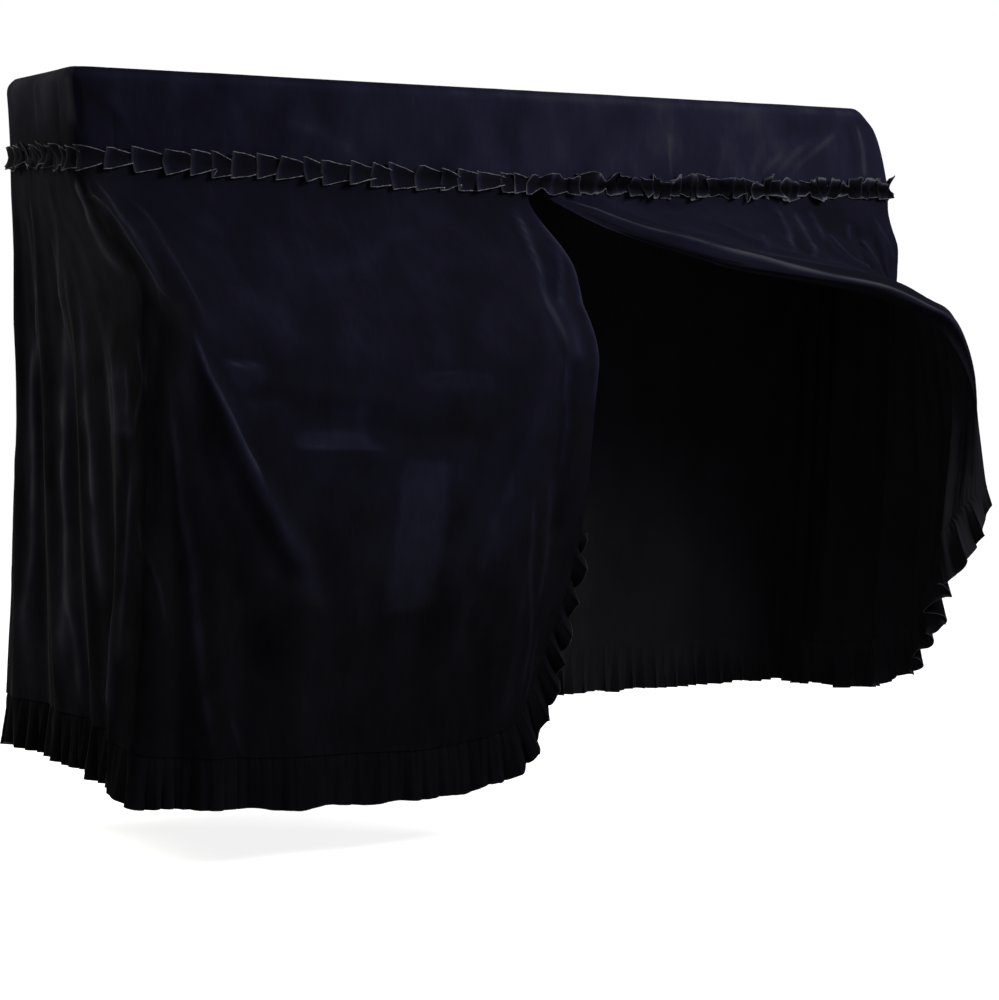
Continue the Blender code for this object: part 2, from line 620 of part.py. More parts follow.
def main():
    clear_scene()
    velvet = fabric("velvet", VELVET_COLOUR, 0.85)
    trim = fabric("trim_velvet", TRIM_COLOUR, 0.9)
    build_cap(velvet)
    build_trim(trim)
    left, left_normals = build_curtain(
        "curtain_left", LEFT_THREADS, LEFT_STATIONS, LEFT_ROWS, LEFT_FOLDS, LEFT_FLAT, velvet
    )
    right, right_normals = build_curtain(
        "curtain_right", RIGHT_THREADS, RIGHT_STATIONS, RIGHT_ROWS, RIGHT_FOLDS, RIGHT_FLAT, velvet
    )
    back, back_normals = build_back(left, right, velvet)

    # The left frill runs up the front edge and then along the hem to the back
    slit = slice(-FRILL_SLIT_ROWS, -1)
    edge = np.concatenate([left[slit, -1], left[-1, ::-1]])
    facing = np.concatenate([left_normals[slit, -1], left_normals[-1, ::-1]])
    inward = np.concatenate([left[slit, -2], left[-2, ::-1]]) - edge
    depths = np.full(len(edge), FRILL_DEPTH)
    depths[:FRILL_SLIT_ROWS] = np.linspace(FRILL_SLIT_DEPTH, FRILL_DEPTH * 0.8, FRILL_SLIT_ROWS)
    build_frill("frill_left", edge, facing, inward, depths, trim)

    depths = np.full(right.shape[1], FRILL_DEPTH)
    depths[:FRILL_TIP_COLUMNS] = np.linspace(FRILL_TIP_DEPTH, FRILL_DEPTH, FRILL_TIP_COLUMNS)
    build_frill("frill_right", right[-1], right_normals[-1], right[-2] - right[-1], depths, trim)
    depths = np.full(back.shape[1], FRILL_DEPTH)
    inward = back[-2] - back[-1]
    build_frill("frill_back", back[-1], back_normals[-1], inward, depths, trim, FRILL_BACK_DRAW)


main()
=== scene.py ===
# Velvet cover for an upright piano: a fitted cap, a pleated band, two front curtains and frilled hems.
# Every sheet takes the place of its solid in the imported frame. Metres, +Z up, the front towards -Y.
import math

import bpy
import numpy as np
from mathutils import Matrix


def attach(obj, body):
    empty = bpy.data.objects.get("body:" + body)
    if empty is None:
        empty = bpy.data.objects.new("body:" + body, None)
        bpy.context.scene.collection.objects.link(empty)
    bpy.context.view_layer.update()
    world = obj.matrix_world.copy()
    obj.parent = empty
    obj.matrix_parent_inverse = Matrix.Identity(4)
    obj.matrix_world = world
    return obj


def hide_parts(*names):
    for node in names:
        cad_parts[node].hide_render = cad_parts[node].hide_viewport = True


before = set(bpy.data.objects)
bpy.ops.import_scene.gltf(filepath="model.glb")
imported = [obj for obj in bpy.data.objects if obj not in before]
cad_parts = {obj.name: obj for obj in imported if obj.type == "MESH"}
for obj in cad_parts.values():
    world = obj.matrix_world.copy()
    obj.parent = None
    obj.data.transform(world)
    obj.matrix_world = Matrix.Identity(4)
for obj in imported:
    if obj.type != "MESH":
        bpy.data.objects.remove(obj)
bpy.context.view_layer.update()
print("frame loaded:", len(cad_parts), "nodes")

# camera and studio
studio = {
    "lens": 99.25,
    "cameraPlace": (-2.3556, -4.1028, -0.4242),
    "cameraTurn": (86.78, 0.0, -30.7),
    "floorHeight": -1.198,
    "floorSize": 40.0,
    "floorShade": 0.5,
    "floorGlow": 0.85,
    "backdrop": 1.02,
    "skyLight": 0.35,
    # name, place, what it points at, width, height, power, colour
    "lamps": (
        ("softRight", (1.5, -2.3, 1.1), (0.2, -0.2, -0.25), 1.6, 1.0, 110.0, (0.97, 0.98, 1.0)),
        ("warmLeft", (-2.2, 1.8, 0.9), (-0.7, 0.0, -0.4), 1.4, 1.4, 100.0, (1.0, 0.94, 0.76)),
        ("softTop", (0.9, 0.2, 1.5), (0.4, -0.2, 0.0), 1.4, 0.8, 14.0, (0.96, 0.97, 1.0)),
    ),
}


def addNode(tree, kind, x, y, **values):
    node = tree.nodes.new(kind)
    node.location = (x, y)
    for name, value in values.items():
        setattr(node, name, value)
    return node


def deselectAll():
    bpy.ops.object.select_all(action="DESELECT")


def placeCamera():
    turn = [math.radians(angle) for angle in studio["cameraTurn"]]
    bpy.ops.object.camera_add(location=studio["cameraPlace"], rotation=turn)
    camera = bpy.context.object
    camera.name = "frontLeftCamera"
    camera.data.lens = studio["lens"]
    camera.data.sensor_width = 36.0
    bpy.context.scene.camera = camera


def layFloor():
    bpy.ops.mesh.primitive_plane_add(size=studio["floorSize"], location=(0, 0, studio["floorHeight"]))
    floor = bpy.context.object
    floor.name = "studioFloor"
    paper = bpy.data.materials.new("palePaper")
    paper.use_nodes = True
    tree = paper.node_tree
    shader = tree.nodes["Principled BSDF"]
    shade = studio["floorShade"]
    shader.inputs["Base Color"].default_value = (shade, shade, shade, 1.0)
    shader.inputs["Roughness"].default_value = 0.9
    shader.inputs["Specular IOR Level"].default_value = 0.0
    # it glows to the camera alone, so the shadow under the cover stays pale
    shader.inputs["Emission Color"].default_value = (1.0, 1.0, 1.0, 1.0)
    seen = addNode(tree, "ShaderNodeLightPath", -600, 0)
    glow = addNode(tree, "ShaderNodeMath", -300, 0, operation="MULTIPLY")
    glow.inputs[1].default_value = studio["floorGlow"]
    tree.links.new(seen.outputs["Is Camera Ray"], glow.inputs[0])
    tree.links.new(glow.outputs[0], shader.inputs["Emission Strength"])
    floor.data.materials.append(paper)


def hangLamps():
    for name, place, aim, width, height, power, colour in studio["lamps"]:
        across, away, up = [end - start for start, end in zip(place, aim)]
        tilt = math.pi / 2 + math.atan2(up, math.hypot(across, away))
        bpy.ops.object.light_add(type="AREA", location=place, rotation=(tilt, 0.0, -math.atan2(across, away)))
        lamp = bpy.context.object
        lamp.name = name
        lamp.data.shape = "RECTANGLE"
        lamp.data.size = width
        lamp.data.size_y = height
        lamp.data.energy = power
        lamp.data.color = colour


def lightSky():
    sky = bpy.data.worlds.new("studioSky")
    bpy.context.scene.world = sky
    sky.use_nodes = True
    tree = sky.node_tree
    backdrop = tree.nodes["Background"]
    backdrop.inputs["Color"].default_value = (1.0, 1.0, 1.0, 1.0)
    backdrop.inputs["Strength"].default_value = studio["backdrop"]
    # the backdrop is white to look at, and dimmer as a light
    soft = addNode(tree, "ShaderNodeBackground", -200, -200)
    soft.inputs["Color"].default_value = (1.0, 1.0, 1.0, 1.0)
    soft.inputs["Strength"].default_value = studio["skyLight"]
    seen = addNode(tree, "ShaderNodeLightPath", -200, 300)
    both = addNode(tree, "ShaderNodeMixShader", 0, 0)
    tree.links.new(seen.outputs["Is Camera Ray"], both.inputs["Fac"])
    tree.links.new(soft.outputs["Background"], both.inputs[1])
    tree.links.new(backdrop.outputs["Background"], both.inputs[2])
    tree.links.new(both.outputs["Shader"], tree.nodes["World Output"].inputs["Surface"])
    bpy.context.scene.view_settings.view_transform = "Standard"


deselectAll()
placeCamera()
layFloor()
hangLamps()
lightSky()
print("camera and studio set")

# cloth finishes
# Each sheet has a UV map in metres and two values at its points:
# one sets its tone, the pile's own brushing with painted highlights and painted shade laid in; the other is
# painted shade that greys and blackens it.
velvetLook = {
    # tones along the first value: the lowest stop is painted shade, the top stop a painted highlight grey
    "tones": (
        (0.00, (0.0016, 0.0015, 0.0021)),
        (0.26, (0.0036, 0.0034, 0.0052)),
        (0.42, (0.0050, 0.0047, 0.0098)),
        (0.60, (0.0084, 0.0082, 0.0172)),
        (1.00, (0.0290, 0.0290, 0.0340)),
    ),
    # how much the painted shade greys the tone
    "greying": 0.45,
    "roughness": 0.9,
    "specular": 0.0,
    "sheen": 0.09,
    "sheenRoughness": 0.2,
    "sheenTint": (0.88, 0.88, 0.94, 1.0),
    "patchSize": (13.0, 8.0, 1.0),
    "patchDepth": 0.22,
    "streakSize": (210.0, 17.0, 1.0),
    "streakDepth": 0.06,
    "pileSize": (950.0, 570.0, 1.0),
    "pileDepth": 0.0006,
}
trimLook = dict(
    velvetLook,
    # the trim's top stops are brighter painted highlight greys for the pleats' noses
    tones=velvetLook["tones"][:4] + ((0.80, (0.020, 0.020, 0.024)), (1.00, (0.062, 0.064, 0.068))),
    sheen=0.07,
    patchDepth=0.16,
)
backingLook = {
    "tones": ((0.25, (0.0026, 0.0026, 0.0038)), (0.80, (0.0058, 0.0058, 0.0078))),
    "roughness": 0.95,
    "specular": 0.1,
    "patchSize": (14.0, 9.0, 1.0),
    "ribScale": 520.0 / 6.3,
    "ribShade": 0.35,
    "ribDepth": 0.0003,
}
# fades: from and to along the cover's width, and what is left of the thread's colour there
threadLook = {
    "tones": ((0.35, (0.028, 0.028, 0.034)), (0.65, (0.118, 0.118, 0.134))),
    "roughness": 0.75,
    "specular": 0.2,
    "twist": 120.0,
    "twistDepth": 0.0004,
    "fades": ((-0.10, 0.14, 0.50), (-0.748, -0.766, 0.22)),
}
darkThreadLook = dict(
    threadLook,
    tones=((0.35, (0.004, 0.004, 0.006)), (0.65, (0.022, 0.022, 0.028))),
    roughness=0.8,
    twist=420.0,
    fades=(),
)


def newMaterial(name, look):
    material = bpy.data.materials.new(name)
    material.use_nodes = True
    shader = material.node_tree.nodes["Principled BSDF"]
    shader.inputs["Roughness"].default_value = look["roughness"]
    shader.inputs["Specular IOR Level"].default_value = look["specular"]
    return material, material.node_tree, shader


def clothNoise(tree, y, scale, detail):
    # noise that follows the cloth: its UV map is in metres
    cloth = addNode(tree, "ShaderNodeUVMap", -1400, y, uv_map="cloth")
    stretch = addNode(tree, "ShaderNodeMapping", -1200, y)
    stretch.inputs["Scale"].default_value = scale
    noise = addNode(tree, "ShaderNodeTexNoise", -1000, y)
    noise.inputs["Scale"].default_value = 1.0
    noise.inputs["Detail"].default_value = detail
    noise.inputs["Roughness"].default_value = 0.6
    tree.links.new(cloth.outputs["UV"], stretch.inputs["Vector"])
    tree.links.new(stretch.outputs["Vector"], noise.inputs["Vector"])
    return noise.outputs["Fac"]


def addDepth(tree, start, noise, depth, y):
    # start + (noise - 0.5) * depth
    middle = addNode(tree, "ShaderNodeMath", -800, y, operation="SUBTRACT")
    middle.inputs[1].default_value = 0.5
    result = addNode(tree, "ShaderNodeMath", -620, y, operation="MULTIPLY_ADD")
    result.inputs[1].default_value = depth
    tree.links.new(noise, middle.inputs[0])
    tree.links.new(middle.outputs[0], result.inputs[0])
    tree.links.new(start, result.inputs[2])
    return result.outputs[0]


def mixTones(tree, y, stops, factor):
    tones = addNode(tree, "ShaderNodeValToRGB", -420, y)
    ramp = tones.color_ramp
    while len(ramp.elements) < len(stops):
        ramp.elements.new(0.5)
    for element, (place, colour) in zip(ramp.elements, stops):
        element.position = place
        element.color = (*colour, 1.0)
    tree.links.new(factor, tones.inputs["Fac"])
    return tones.outputs["Color"]


def addBump(tree, shader, height, depth, strength):
    bump = addNode(tree, "ShaderNodeBump", -250, -300)
    bump.inputs["Strength"].default_value = strength
    bump.inputs["Distance"].default_value = depth
    tree.links.new(height, bump.inputs["Height"])
    tree.links.new(bump.outputs["Normal"], shader.inputs["Normal"])


def velvetMaterial(name, look):
    material, tree, shader = newMaterial(name, look)
    shader.inputs["Sheen Weight"].default_value = look["sheen"]
    shader.inputs["Sheen Roughness"].default_value = look["sheenRoughness"]
    shader.inputs["Sheen Tint"].default_value = look["sheenTint"]
    napAndPaintedLight = addNode(tree, "ShaderNodeAttribute", -1000, 500, attribute_name="napAndPaintedLight")
    patches = clothNoise(tree, 250, look["patchSize"], 5.0)
    streaks = clothNoise(tree, 0, look["streakSize"], 3.0)
    # the tone follows the painted highlights and painted shade, with the pile's own patches and streaks
    pileAndPaintedLight = addDepth(tree, napAndPaintedLight.outputs["Fac"], patches, look["patchDepth"] * 2, 300)
    pileAndPaintedLight = addDepth(tree, pileAndPaintedLight, streaks, look["streakDepth"] * 2, 80)
    # painted shade and sheen: where this value is high the tone loses colour, so the side and the deep folds
    # are greyer and blacker than the front
    paintedGreyness = addNode(tree, "ShaderNodeAttribute", -620, -120, attribute_name="paintedGreyness")
    colourful = addNode(tree, "ShaderNodeMath", -420, -120, operation="MULTIPLY_ADD")
    colourful.inputs[1].default_value = -look["greying"]
    colourful.inputs[2].default_value = 1.0
    hue = addNode(tree, "ShaderNodeHueSaturation", -150, 200)
    tree.links.new(paintedGreyness.outputs["Fac"], colourful.inputs[0])
    tree.links.new(colourful.outputs[0], hue.inputs["Saturation"])
    tree.links.new(mixTones(tree, 200, look["tones"], pileAndPaintedLight), hue.inputs["Color"])
    tree.links.new(hue.outputs["Color"], shader.inputs["Base Color"])
    addBump(tree, shader, clothNoise(tree, -300, look["pileSize"], 2.0), look["pileDepth"], 0.5)
    return material


def backingMaterial(name, look):
    # the wrong side of the velvet: a dull knitted ground with fine ribs
    material, tree, shader = newMaterial(name, look)
    cloth = addNode(tree, "ShaderNodeUVMap", -1400, -100, uv_map="cloth")
    ribs = addNode(tree, "ShaderNodeTexWave", -1000, -100, wave_type="BANDS", bands_direction="X")
    ribs.inputs["Scale"].default_value = look["ribScale"]
    ribs.inputs["Distortion"].default_value = 0.6
    ribs.inputs["Detail"].default_value = 1.0
    tree.links.new(cloth.outputs["UV"], ribs.inputs["Vector"])
    uneven = clothNoise(tree, 250, look["patchSize"], 5.0)
    shade = addDepth(tree, uneven, ribs.outputs["Fac"], look["ribShade"], 100)
    tree.links.new(mixTones(tree, 100, look["tones"], shade), shader.inputs["Base Color"])
    addBump(tree, shader, ribs.outputs["Fac"], look["ribDepth"], 0.4)
    return material


def threadMaterial(name, look):
    material, tree, shader = newMaterial(name, look)
    place = addNode(tree, "ShaderNodeTexCoord", -900, 0)
    twist = addNode(tree, "ShaderNodeTexNoise", -700, 0)
    twist.inputs["Scale"].default_value = look["twist"]
    tree.links.new(place.outputs["Object"], twist.inputs["Vector"])
    colour = mixTones(tree, 0, look["tones"], twist.outputs["Fac"])
    # the thread is dimmer over the right half of the cover and at its left end
    for index, (near, far, dim) in enumerate(look["fades"]):
        sides = addNode(tree, "ShaderNodeSeparateXYZ", -900, -250 - 300 * index)
        fade = addNode(tree, "ShaderNodeMapRange", -650, -250 - 300 * index)
        for socket, value in zip(("From Min", "From Max", "To Min", "To Max"), (near, far, 1.0, dim)):
            fade.inputs[socket].default_value = value
        dimmed = addNode(tree, "ShaderNodeVectorMath", -200, -300 * index, operation="SCALE")
        tree.links.new(place.outputs["Object"], sides.inputs[0])
        tree.links.new(sides.outputs["X"], fade.inputs["Value"])
        tree.links.new(fade.outputs["Result"], dimmed.inputs["Scale"])
        tree.links.new(colour, dimmed.inputs[0])
        colour = dimmed.outputs[0]
    tree.links.new(colour, shader.inputs["Base Color"])
    addBump(tree, shader, twist.outputs["Fac"], look["twistDepth"], 0.4)
    return material


velvet = velvetMaterial("navyBlackVelvet", velvetLook)
trimVelvet = velvetMaterial("trimVelvet", trimLook)
backing = backingMaterial("knittedBacking", backingLook)
edgeThread = threadMaterial("greyEdgeThread", threadLook)
darkThread = threadMaterial("navyHemThread", darkThreadLook)
print("finishes mixed")

# the cover's own lines
cap = {
    "halfWidth": 0.766,
    "halfDepth": 0.145,
    "edgeRadius": 0.020,
    "cornerRadius": 0.034,
    "topHeight": 0.001,
    # the drop bulges under the shoulder, more so towards the right, and the rows there are softened
    "bulge": 0.65,
    "bulgeRight": 0.42,
    "softenings": 6,
    "softRows": (3, 16),
    "seamAt": 0.695,
    "seamGap": 0.0003,
    "seamPull": 0.0008,
    "flat": (3.70, 0.17),
    "cloth": 0.0016,
    # the grid: columns along the corner, the straight run and the corner of each edge in turn
    "columns": (8, 280, 10, 10, 50, 8, 8, 220, 8, 8, 50, 10),
    "edgeSteps": 8,
    "dropSteps": 24,
    "measuredRow": 12,
    # the seam line under the band: side counts the four edges from the front left corner, then x, y, z
    "ring": np.array([
        (0.00, -0.757, -0.150, -0.138),
        (0.25, -0.364, -0.152, -0.147),
        (0.51, 0.045, -0.153, -0.156),
        (0.75, 0.426, -0.153, -0.154),
        (1.00, 0.824, -0.150, -0.144),
        (2.00, 0.814, 0.154, -0.136),
        (2.50, 0.018, 0.157, -0.130),
        (3.00, -0.757, 0.152, -0.123),
        (4.00, -0.757, -0.150, -0.138),
    ]),
    # broad folds of the drop: from and to (share of the way round, share of the drop), spread, height
    "folds": (
        (0.232, 0.22, 0.214, 0.92, 0.02, 0.0035),
        (0.222, 0.2, 0.196, 0.92, 0.018, -0.003),
        (0.205, 0.3, 0.18, 0.94, 0.02, 0.003),
        (0.03, 0.24, 0.055, 0.94, 0.024, -0.003),
        (0.048, 0.3, 0.085, 0.94, 0.024, 0.0025),
        (0.88, 0.3, 0.882, 0.94, 0.026, 0.0018),
        (0.955, 0.3, 0.95, 0.94, 0.026, -0.0018),
    ),
    # creases: points along each, spread at its start and end, height, and the highlight painted along it
    # (painted shade where negative)
    "creases": (
        (((0.993, 0.34), (0.993, 0.57), (0.9942, 0.8)), 0.01, 0.012, 0.0008, 0.24),
        (((0.0015, 0.4), (0.002, 0.62), (0.0015, 0.86)), 0.004, 0.004, 0.001, -0.15),
        (((0.002, 0.47), (0.006, 0.6), (0.009, 0.71), (0.013, 0.82)), 0.009, 0.012, -0.0015, -0.12),
        (((0.007, 0.5), (0.011, 0.66), (0.016, 0.84)), 0.01, 0.012, 0.0012, 0.05),
        (((0.055, 0.64), (0.06, 0.69), (0.066, 0.73), (0.073, 0.81),
          (0.077, 0.86)), 0.011, 0.013, 0.0012, 0.15),
        (((0.173, 0.6), (0.173, 0.81), (0.173, 0.94)), 0.004, 0.004, 0.0008, 0.15),
        (((0.214, 0.88), (0.218, 0.77), (0.223, 0.66), (0.23, 0.54)), 0.004, 0.006, 0.0022, 0.2),
        (((0.203, 0.91), (0.207, 0.8), (0.211, 0.71)), 0.004, 0.006, 0.0014, 0.15),
        (((0.209, 0.88), (0.216, 0.69), (0.222, 0.58)), 0.005, 0.006, 0.0015, 0.12),
        (((0.199, 0.92), (0.202, 0.78), (0.204, 0.62)), 0.006, 0.008, 0.001, 0.1),
        (((0.188, 0.92), (0.19, 0.76), (0.189, 0.6)), 0.006, 0.008, 0.0008, 0.08),
        (((0.2395, 0.47), (0.24, 0.67), (0.24, 0.92)), 0.003, 0.004, 0.002, 0.26),
        (((0.234, 0.44), (0.236, 0.67), (0.237, 0.92)), 0.01, 0.012, -0.0012, -0.07),
        (((0.3, 0.35), (0.31, 0.6), (0.3, 0.9)), 0.008, 0.01, 0.0016, 0.1),
        (((0.42, 0.4), (0.41, 0.7), (0.42, 0.92)), 0.008, 0.01, -0.0014, -0.06),
        (((0.56, 0.38), (0.563, 0.65), (0.56, 0.92)), 0.01, 0.014, 0.0014, 0.08),
        (((0.655, 0.36), (0.65, 0.65), (0.655, 0.92)), 0.01, 0.014, -0.0014, -0.05),
        (((0.715, 0.38), (0.712, 0.65), (0.716, 0.92)), 0.01, 0.014, 0.0014, 0.08),
        (((0.95, 0.4), (0.952, 0.62), (0.95, 0.85)), 0.03, 0.03, 0.0006, -0.05),
        (((0.915, 0.3), (0.915, 0.62), (0.912, 0.8)), 0.016, 0.02, 0.0008, 0.05),
    ),
    # unevenness: height, width and length of a bump
    "uneven": ((0.0010, 0.09, 0.07), (0.0005, 0.03, 0.05)),
    # how much of all this shows: share of the drop, strength
    "shown": ((0.0, 0.16, 0.72, 0.86), (0.2, 1.0, 1.0, 0.0)),
    # tone of the drop along its way round: painted light, brighter towards the right of the front
    "napAndLightPlaces": (0.0, 0.03, 0.075, 0.12, 0.17, 0.22, 0.25, 0.30, 0.50, 0.74, 0.76, 0.90, 1.0),
    "napAndPaintedLight": (0.42, 0.41, 0.47, 0.55, 0.58, 0.57, 0.50, 0.45, 0.45, 0.42, 0.48, 0.50, 0.46),
    "mottling": 0.045,
    "mottleSize": (0.045, 0.040),
    "mottledAt": ((0.06, 0.12, 0.22, 0.26), (0.3, 1.0, 1.0, 0.3)),
    # a painted highlight below the shoulder: share of the drop, its width there, how bright
    "shoulderShine": (0.30, 0.10, 0.08),
    # painted shade: the left end darkens towards the band: where it begins, and how much lighter or darker it
    # is by the share of the drop
    "endAt": ((0.76, 0.80), (0.0, 1.0)),
    "endPaintedShade": ((0.45, 0.85), (0.05, -0.15)),
    # painted shade greys the left end: share of the way round, how much
    "paintedGreyAt": ((0.0, 0.50, 0.78, 1.0), (0.0, 0.05, 0.70, 0.75)),
    "seed": 11,
}


def smoothBetween(stops, values, at):
    # a monotone cubic curve through the values at the stops
    stops = np.asarray(stops, float)
    values = np.asarray(values, float)
    at = np.asarray(at, float)
    spans = np.diff(stops).reshape((-1,) + (1,) * (values.ndim - 1))
    slopes = np.diff(values, axis=0) / spans
    before, after = slopes[:-1], slopes[1:]
    sameWay = before * after > 0
    total = np.where(sameWay, before + after, 1.0)
    inner = np.where(sameWay, 2 * before * after / total, 0.0)
    tangents = np.concatenate([slopes[:1], inner, slopes[-1:]])
    index = np.clip(np.searchsorted(stops, at, side="right") - 1, 0, len(stops) - 2)
    span = stops[index + 1] - stops[index]
    share = ((at - stops[index]) / span).reshape((-1,) + (1,) * (values.ndim - 1))
    span = span.reshape(share.shape)
    start, end = values[index], values[index + 1]
    leave, arrive = tangents[index] * span, tangents[index + 1] * span
    return (
        (2 * share**3 - 3 * share**2 + 1) * start
        + (share**3 - 2 * share**2 + share) * leave
        + (3 * share**2 - 2 * share**3) * end
        + (share**3 - share**2) * arrive
    )


def stopsBetween(stops, steps):
    places = [
        np.linspace(start, end, count, endpoint=False)
        for start, end, count in zip(stops[:-1], stops[1:], steps)
    ]
    return np.concatenate(places + [[stops[-1]]])


def readOff(at, stops, values):
    # each column of the values, read off at the given places
    return np.array([np.interp(at, stops, column) for column in values.T]).T


def lengthsAlong(line):
    # how far each point is along the line
    return np.concatenate([[0], np.cumsum(np.linalg.norm(np.diff(line, axis=0), axis=1))])


def lineLength(line):
    return float(np.linalg.norm(np.diff(line, axis=0), axis=1).sum())


def unit(vectors):
    return vectors / np.maximum(np.linalg.norm(vectors, axis=-1, keepdims=True), 1e-12)


def edgeLength(pointAt, side):
    return math.dist(pointAt(side % 4)[:2], pointAt(side % 4 + 0.999)[:2])


def roundedCorner(pointAt, side, radius):
    corner = round(side)
    halfWay = pointAt(corner + math.copysign(0.5, side - corner))
    edge = math.dist(pointAt(corner)[:2], halfWay[:2]) * 2
    away = abs(side - corner) * edge
    if away >= radius:
        return pointAt(side)
    before = pointAt(corner - radius / edgeLength(pointAt, corner - 1))
    after = pointAt(corner + radius / edgeLength(pointAt, corner))
    share = 0.5 + math.copysign(0.5 * away / radius, side - corner)
    return (1 - share) ** 2 * before + 2 * share * (1 - share) * pointAt(corner) + share**2 * after


def ringLine(side):
    return readOff(side % 4, cap["ring"][:, 0], cap["ring"][:, 1:])


def ringPoint(side):
    return roundedCorner(ringLine, side, cap["cornerRadius"])


def lidLine(side, inset):
    halfWidth = cap["halfWidth"] - inset
    halfDepth = cap["halfDepth"] - inset
    place = side % 4
    y = np.interp(place, range(5), (-halfDepth, -halfDepth, halfDepth, halfDepth, -halfDepth))
    edge = int(place)
    if edge in (1, 3):
        x = halfWidth if edge == 1 else -halfWidth
    else:
        ends = sorted((ringLine(edge)[0], ringLine(edge + 0.999)[0]))
        stops = (ends[0], -cap["seamAt"], cap["seamAt"], ends[1])
        x = np.interp(ringLine(side)[0], stops, (-halfWidth, -cap["seamAt"], cap["seamAt"], halfWidth))
    return np.array([x, y, cap["topHeight"]])


def lidPoint(side, inset):
    return roundedCorner(lambda place: lidLine(place, inset), side, cap["cornerRadius"] - inset * 0.5)


def gridNormals(points, closed=False):
    if closed:
        along = np.roll(points, -1, axis=1) - np.roll(points, 1, axis=1)
    else:
        along = np.gradient(points, axis=1)
    return unit(np.cross(np.gradient(points, axis=0), along))


def softNoise(x, y, seed):
    # smooth unevenness with one bump per unit, from -1 to 1
    chance = np.random.default_rng(seed)
    table = chance.uniform(-1.0, 1.0, (64, 64))
    left, low = np.floor(x).astype(int), np.floor(y).astype(int)
    shareX, shareY = x - left, y - low
    shareX = shareX**2 * (3 - 2 * shareX)
    shareY = shareY**2 * (3 - 2 * shareY)

    def corner(stepX, stepY):
        return table[(left + stepX) % 64, (low + stepY) % 64]

    lower = corner(0, 0) * (1 - shareX) + corner(1, 0) * shareX
    upper = corner(0, 1) * (1 - shareX) + corner(1, 1) * shareX
    return lower * (1 - shareY) + upper * shareY


def unevenness(x, y, layers, seed):
    # layers of bumps: height, width, length
    lift = np.zeros_like(x)
    for index, (height, wide, long) in enumerate(layers):
        lift += height * softNoise(x / wide, y / long, seed + index)
    return lift


def foldHeights(folds, across, down, flat):
    # the broad folds that the frame's solids have too
    x, y = across * flat[0], down * flat[1]
    lift = np.zeros_like(x)
    for fromAcross, fromDown, toAcross, toDown, spread, height in folds:
        start = np.array([fromAcross * flat[0], fromDown * flat[1]])
        run = np.array([toAcross * flat[0], toDown * flat[1]]) - start
        share = ((x - start[0]) * run[0] + (y - start[1]) * run[1]) / (run @ run)
        inside = np.clip(share, 0.0, 1.0)
        away = np.hypot(x - start[0] - inside * run[0], y - start[1] - inside * run[1])
        lift += height * np.clip(share * 4, 0.0, 1.0) * np.exp(-((away / spread) ** 2))
    return lift


# how every crease wanders, fades at its ends and changes in height along its way
creaseLook = {
    "wander": 0.0022,
    # lengths of the wander's bumps: across and down, for its two directions
    "wanderAcross": (0.05, 0.07),
    "wanderDown": (0.06, 0.05),
    "fade": 0.18,
    "leftAtEnds": 0.1,
    "uneven": 0.35,
    "unevenPitch": 0.045,
    "shineSpread": 0.85,
}


def nearestOnLine(line, lengths, x, y):
    # how far each place is from the line, and how far along it
    nearest = np.full(x.shape, np.inf)
    gone = np.zeros(x.shape)
    for start, end, length in zip(line[:-1], line[1:], lengths[:-1]):
        run = end - start
        share = ((x - start[0]) * run[0] + (y - start[1]) * run[1]) / max(run @ run, 1e-12)
        share = np.clip(share, 0.0, 1.0)
        away = np.hypot(x - start[0] - share * run[0], y - start[1] - share * run[1])
        closer = away < nearest
        nearest = np.where(closer, away, nearest)
        gone = np.where(closer, length + share * np.linalg.norm(run), gone)
    return nearest, gone


def pressCreases(creases, x, y, placeOf, seed):
    # narrow creases along bent lines: how high each lifts the cloth, and the highlight painted along it, with
    # painted shade where its shine is negative
    wide, long = creaseLook["wanderAcross"]
    bentX = x + creaseLook["wander"] * softNoise(x / wide, y / long, seed)
    wide, long = creaseLook["wanderDown"]
    bentY = y + creaseLook["wander"] * softNoise(x / wide + 9, y / long, seed + 1)
    lift, paintedShine = np.zeros_like(x), np.zeros_like(x)
    for number, (places, spreadStart, spreadEnd, height, glow) in enumerate(creases):
        line = np.array([placeOf(*place) for place in places])
        finer = np.linspace(0, len(line) - 1, 5 * (len(line) - 1) + 1)
        line = smoothBetween(np.arange(len(line)), line, finer)
        lengths = lengthsAlong(line)
        reach = 4 * max(spreadStart, spreadEnd) + 0.01
        low, high = line.min(axis=0) - reach, line.max(axis=0) + reach
        near = (bentX > low[0]) & (bentX < high[0]) & (bentY > low[1]) & (bentY < high[1])
        if not near.any():
            continue
        nearest, gone = nearestOnLine(line, lengths, bentX[near], bentY[near])
        share = gone / lengths[-1]
        spread = spreadStart + (spreadEnd - spreadStart) * share
        ends = np.clip(np.minimum(share, 1 - share) / creaseLook["fade"], 0.0, 1.0)
        ends = creaseLook["leftAtEnds"] + (1 - creaseLook["leftAtEnds"]) * ends * ends * (3 - 2 * ends)
        change = softNoise(gone / creaseLook["unevenPitch"], np.full(gone.shape, number * 1.7), seed + 2)
        strength = (1 + creaseLook["uneven"] * change) * ends
        lift[near] += height * strength * np.exp(-((nearest / spread) ** 1.7))
        paintedShine[near] += glow * strength * np.exp(-((nearest / (creaseLook["shineSpread"] * spread)) ** 1.5))
    return lift, paintedShine


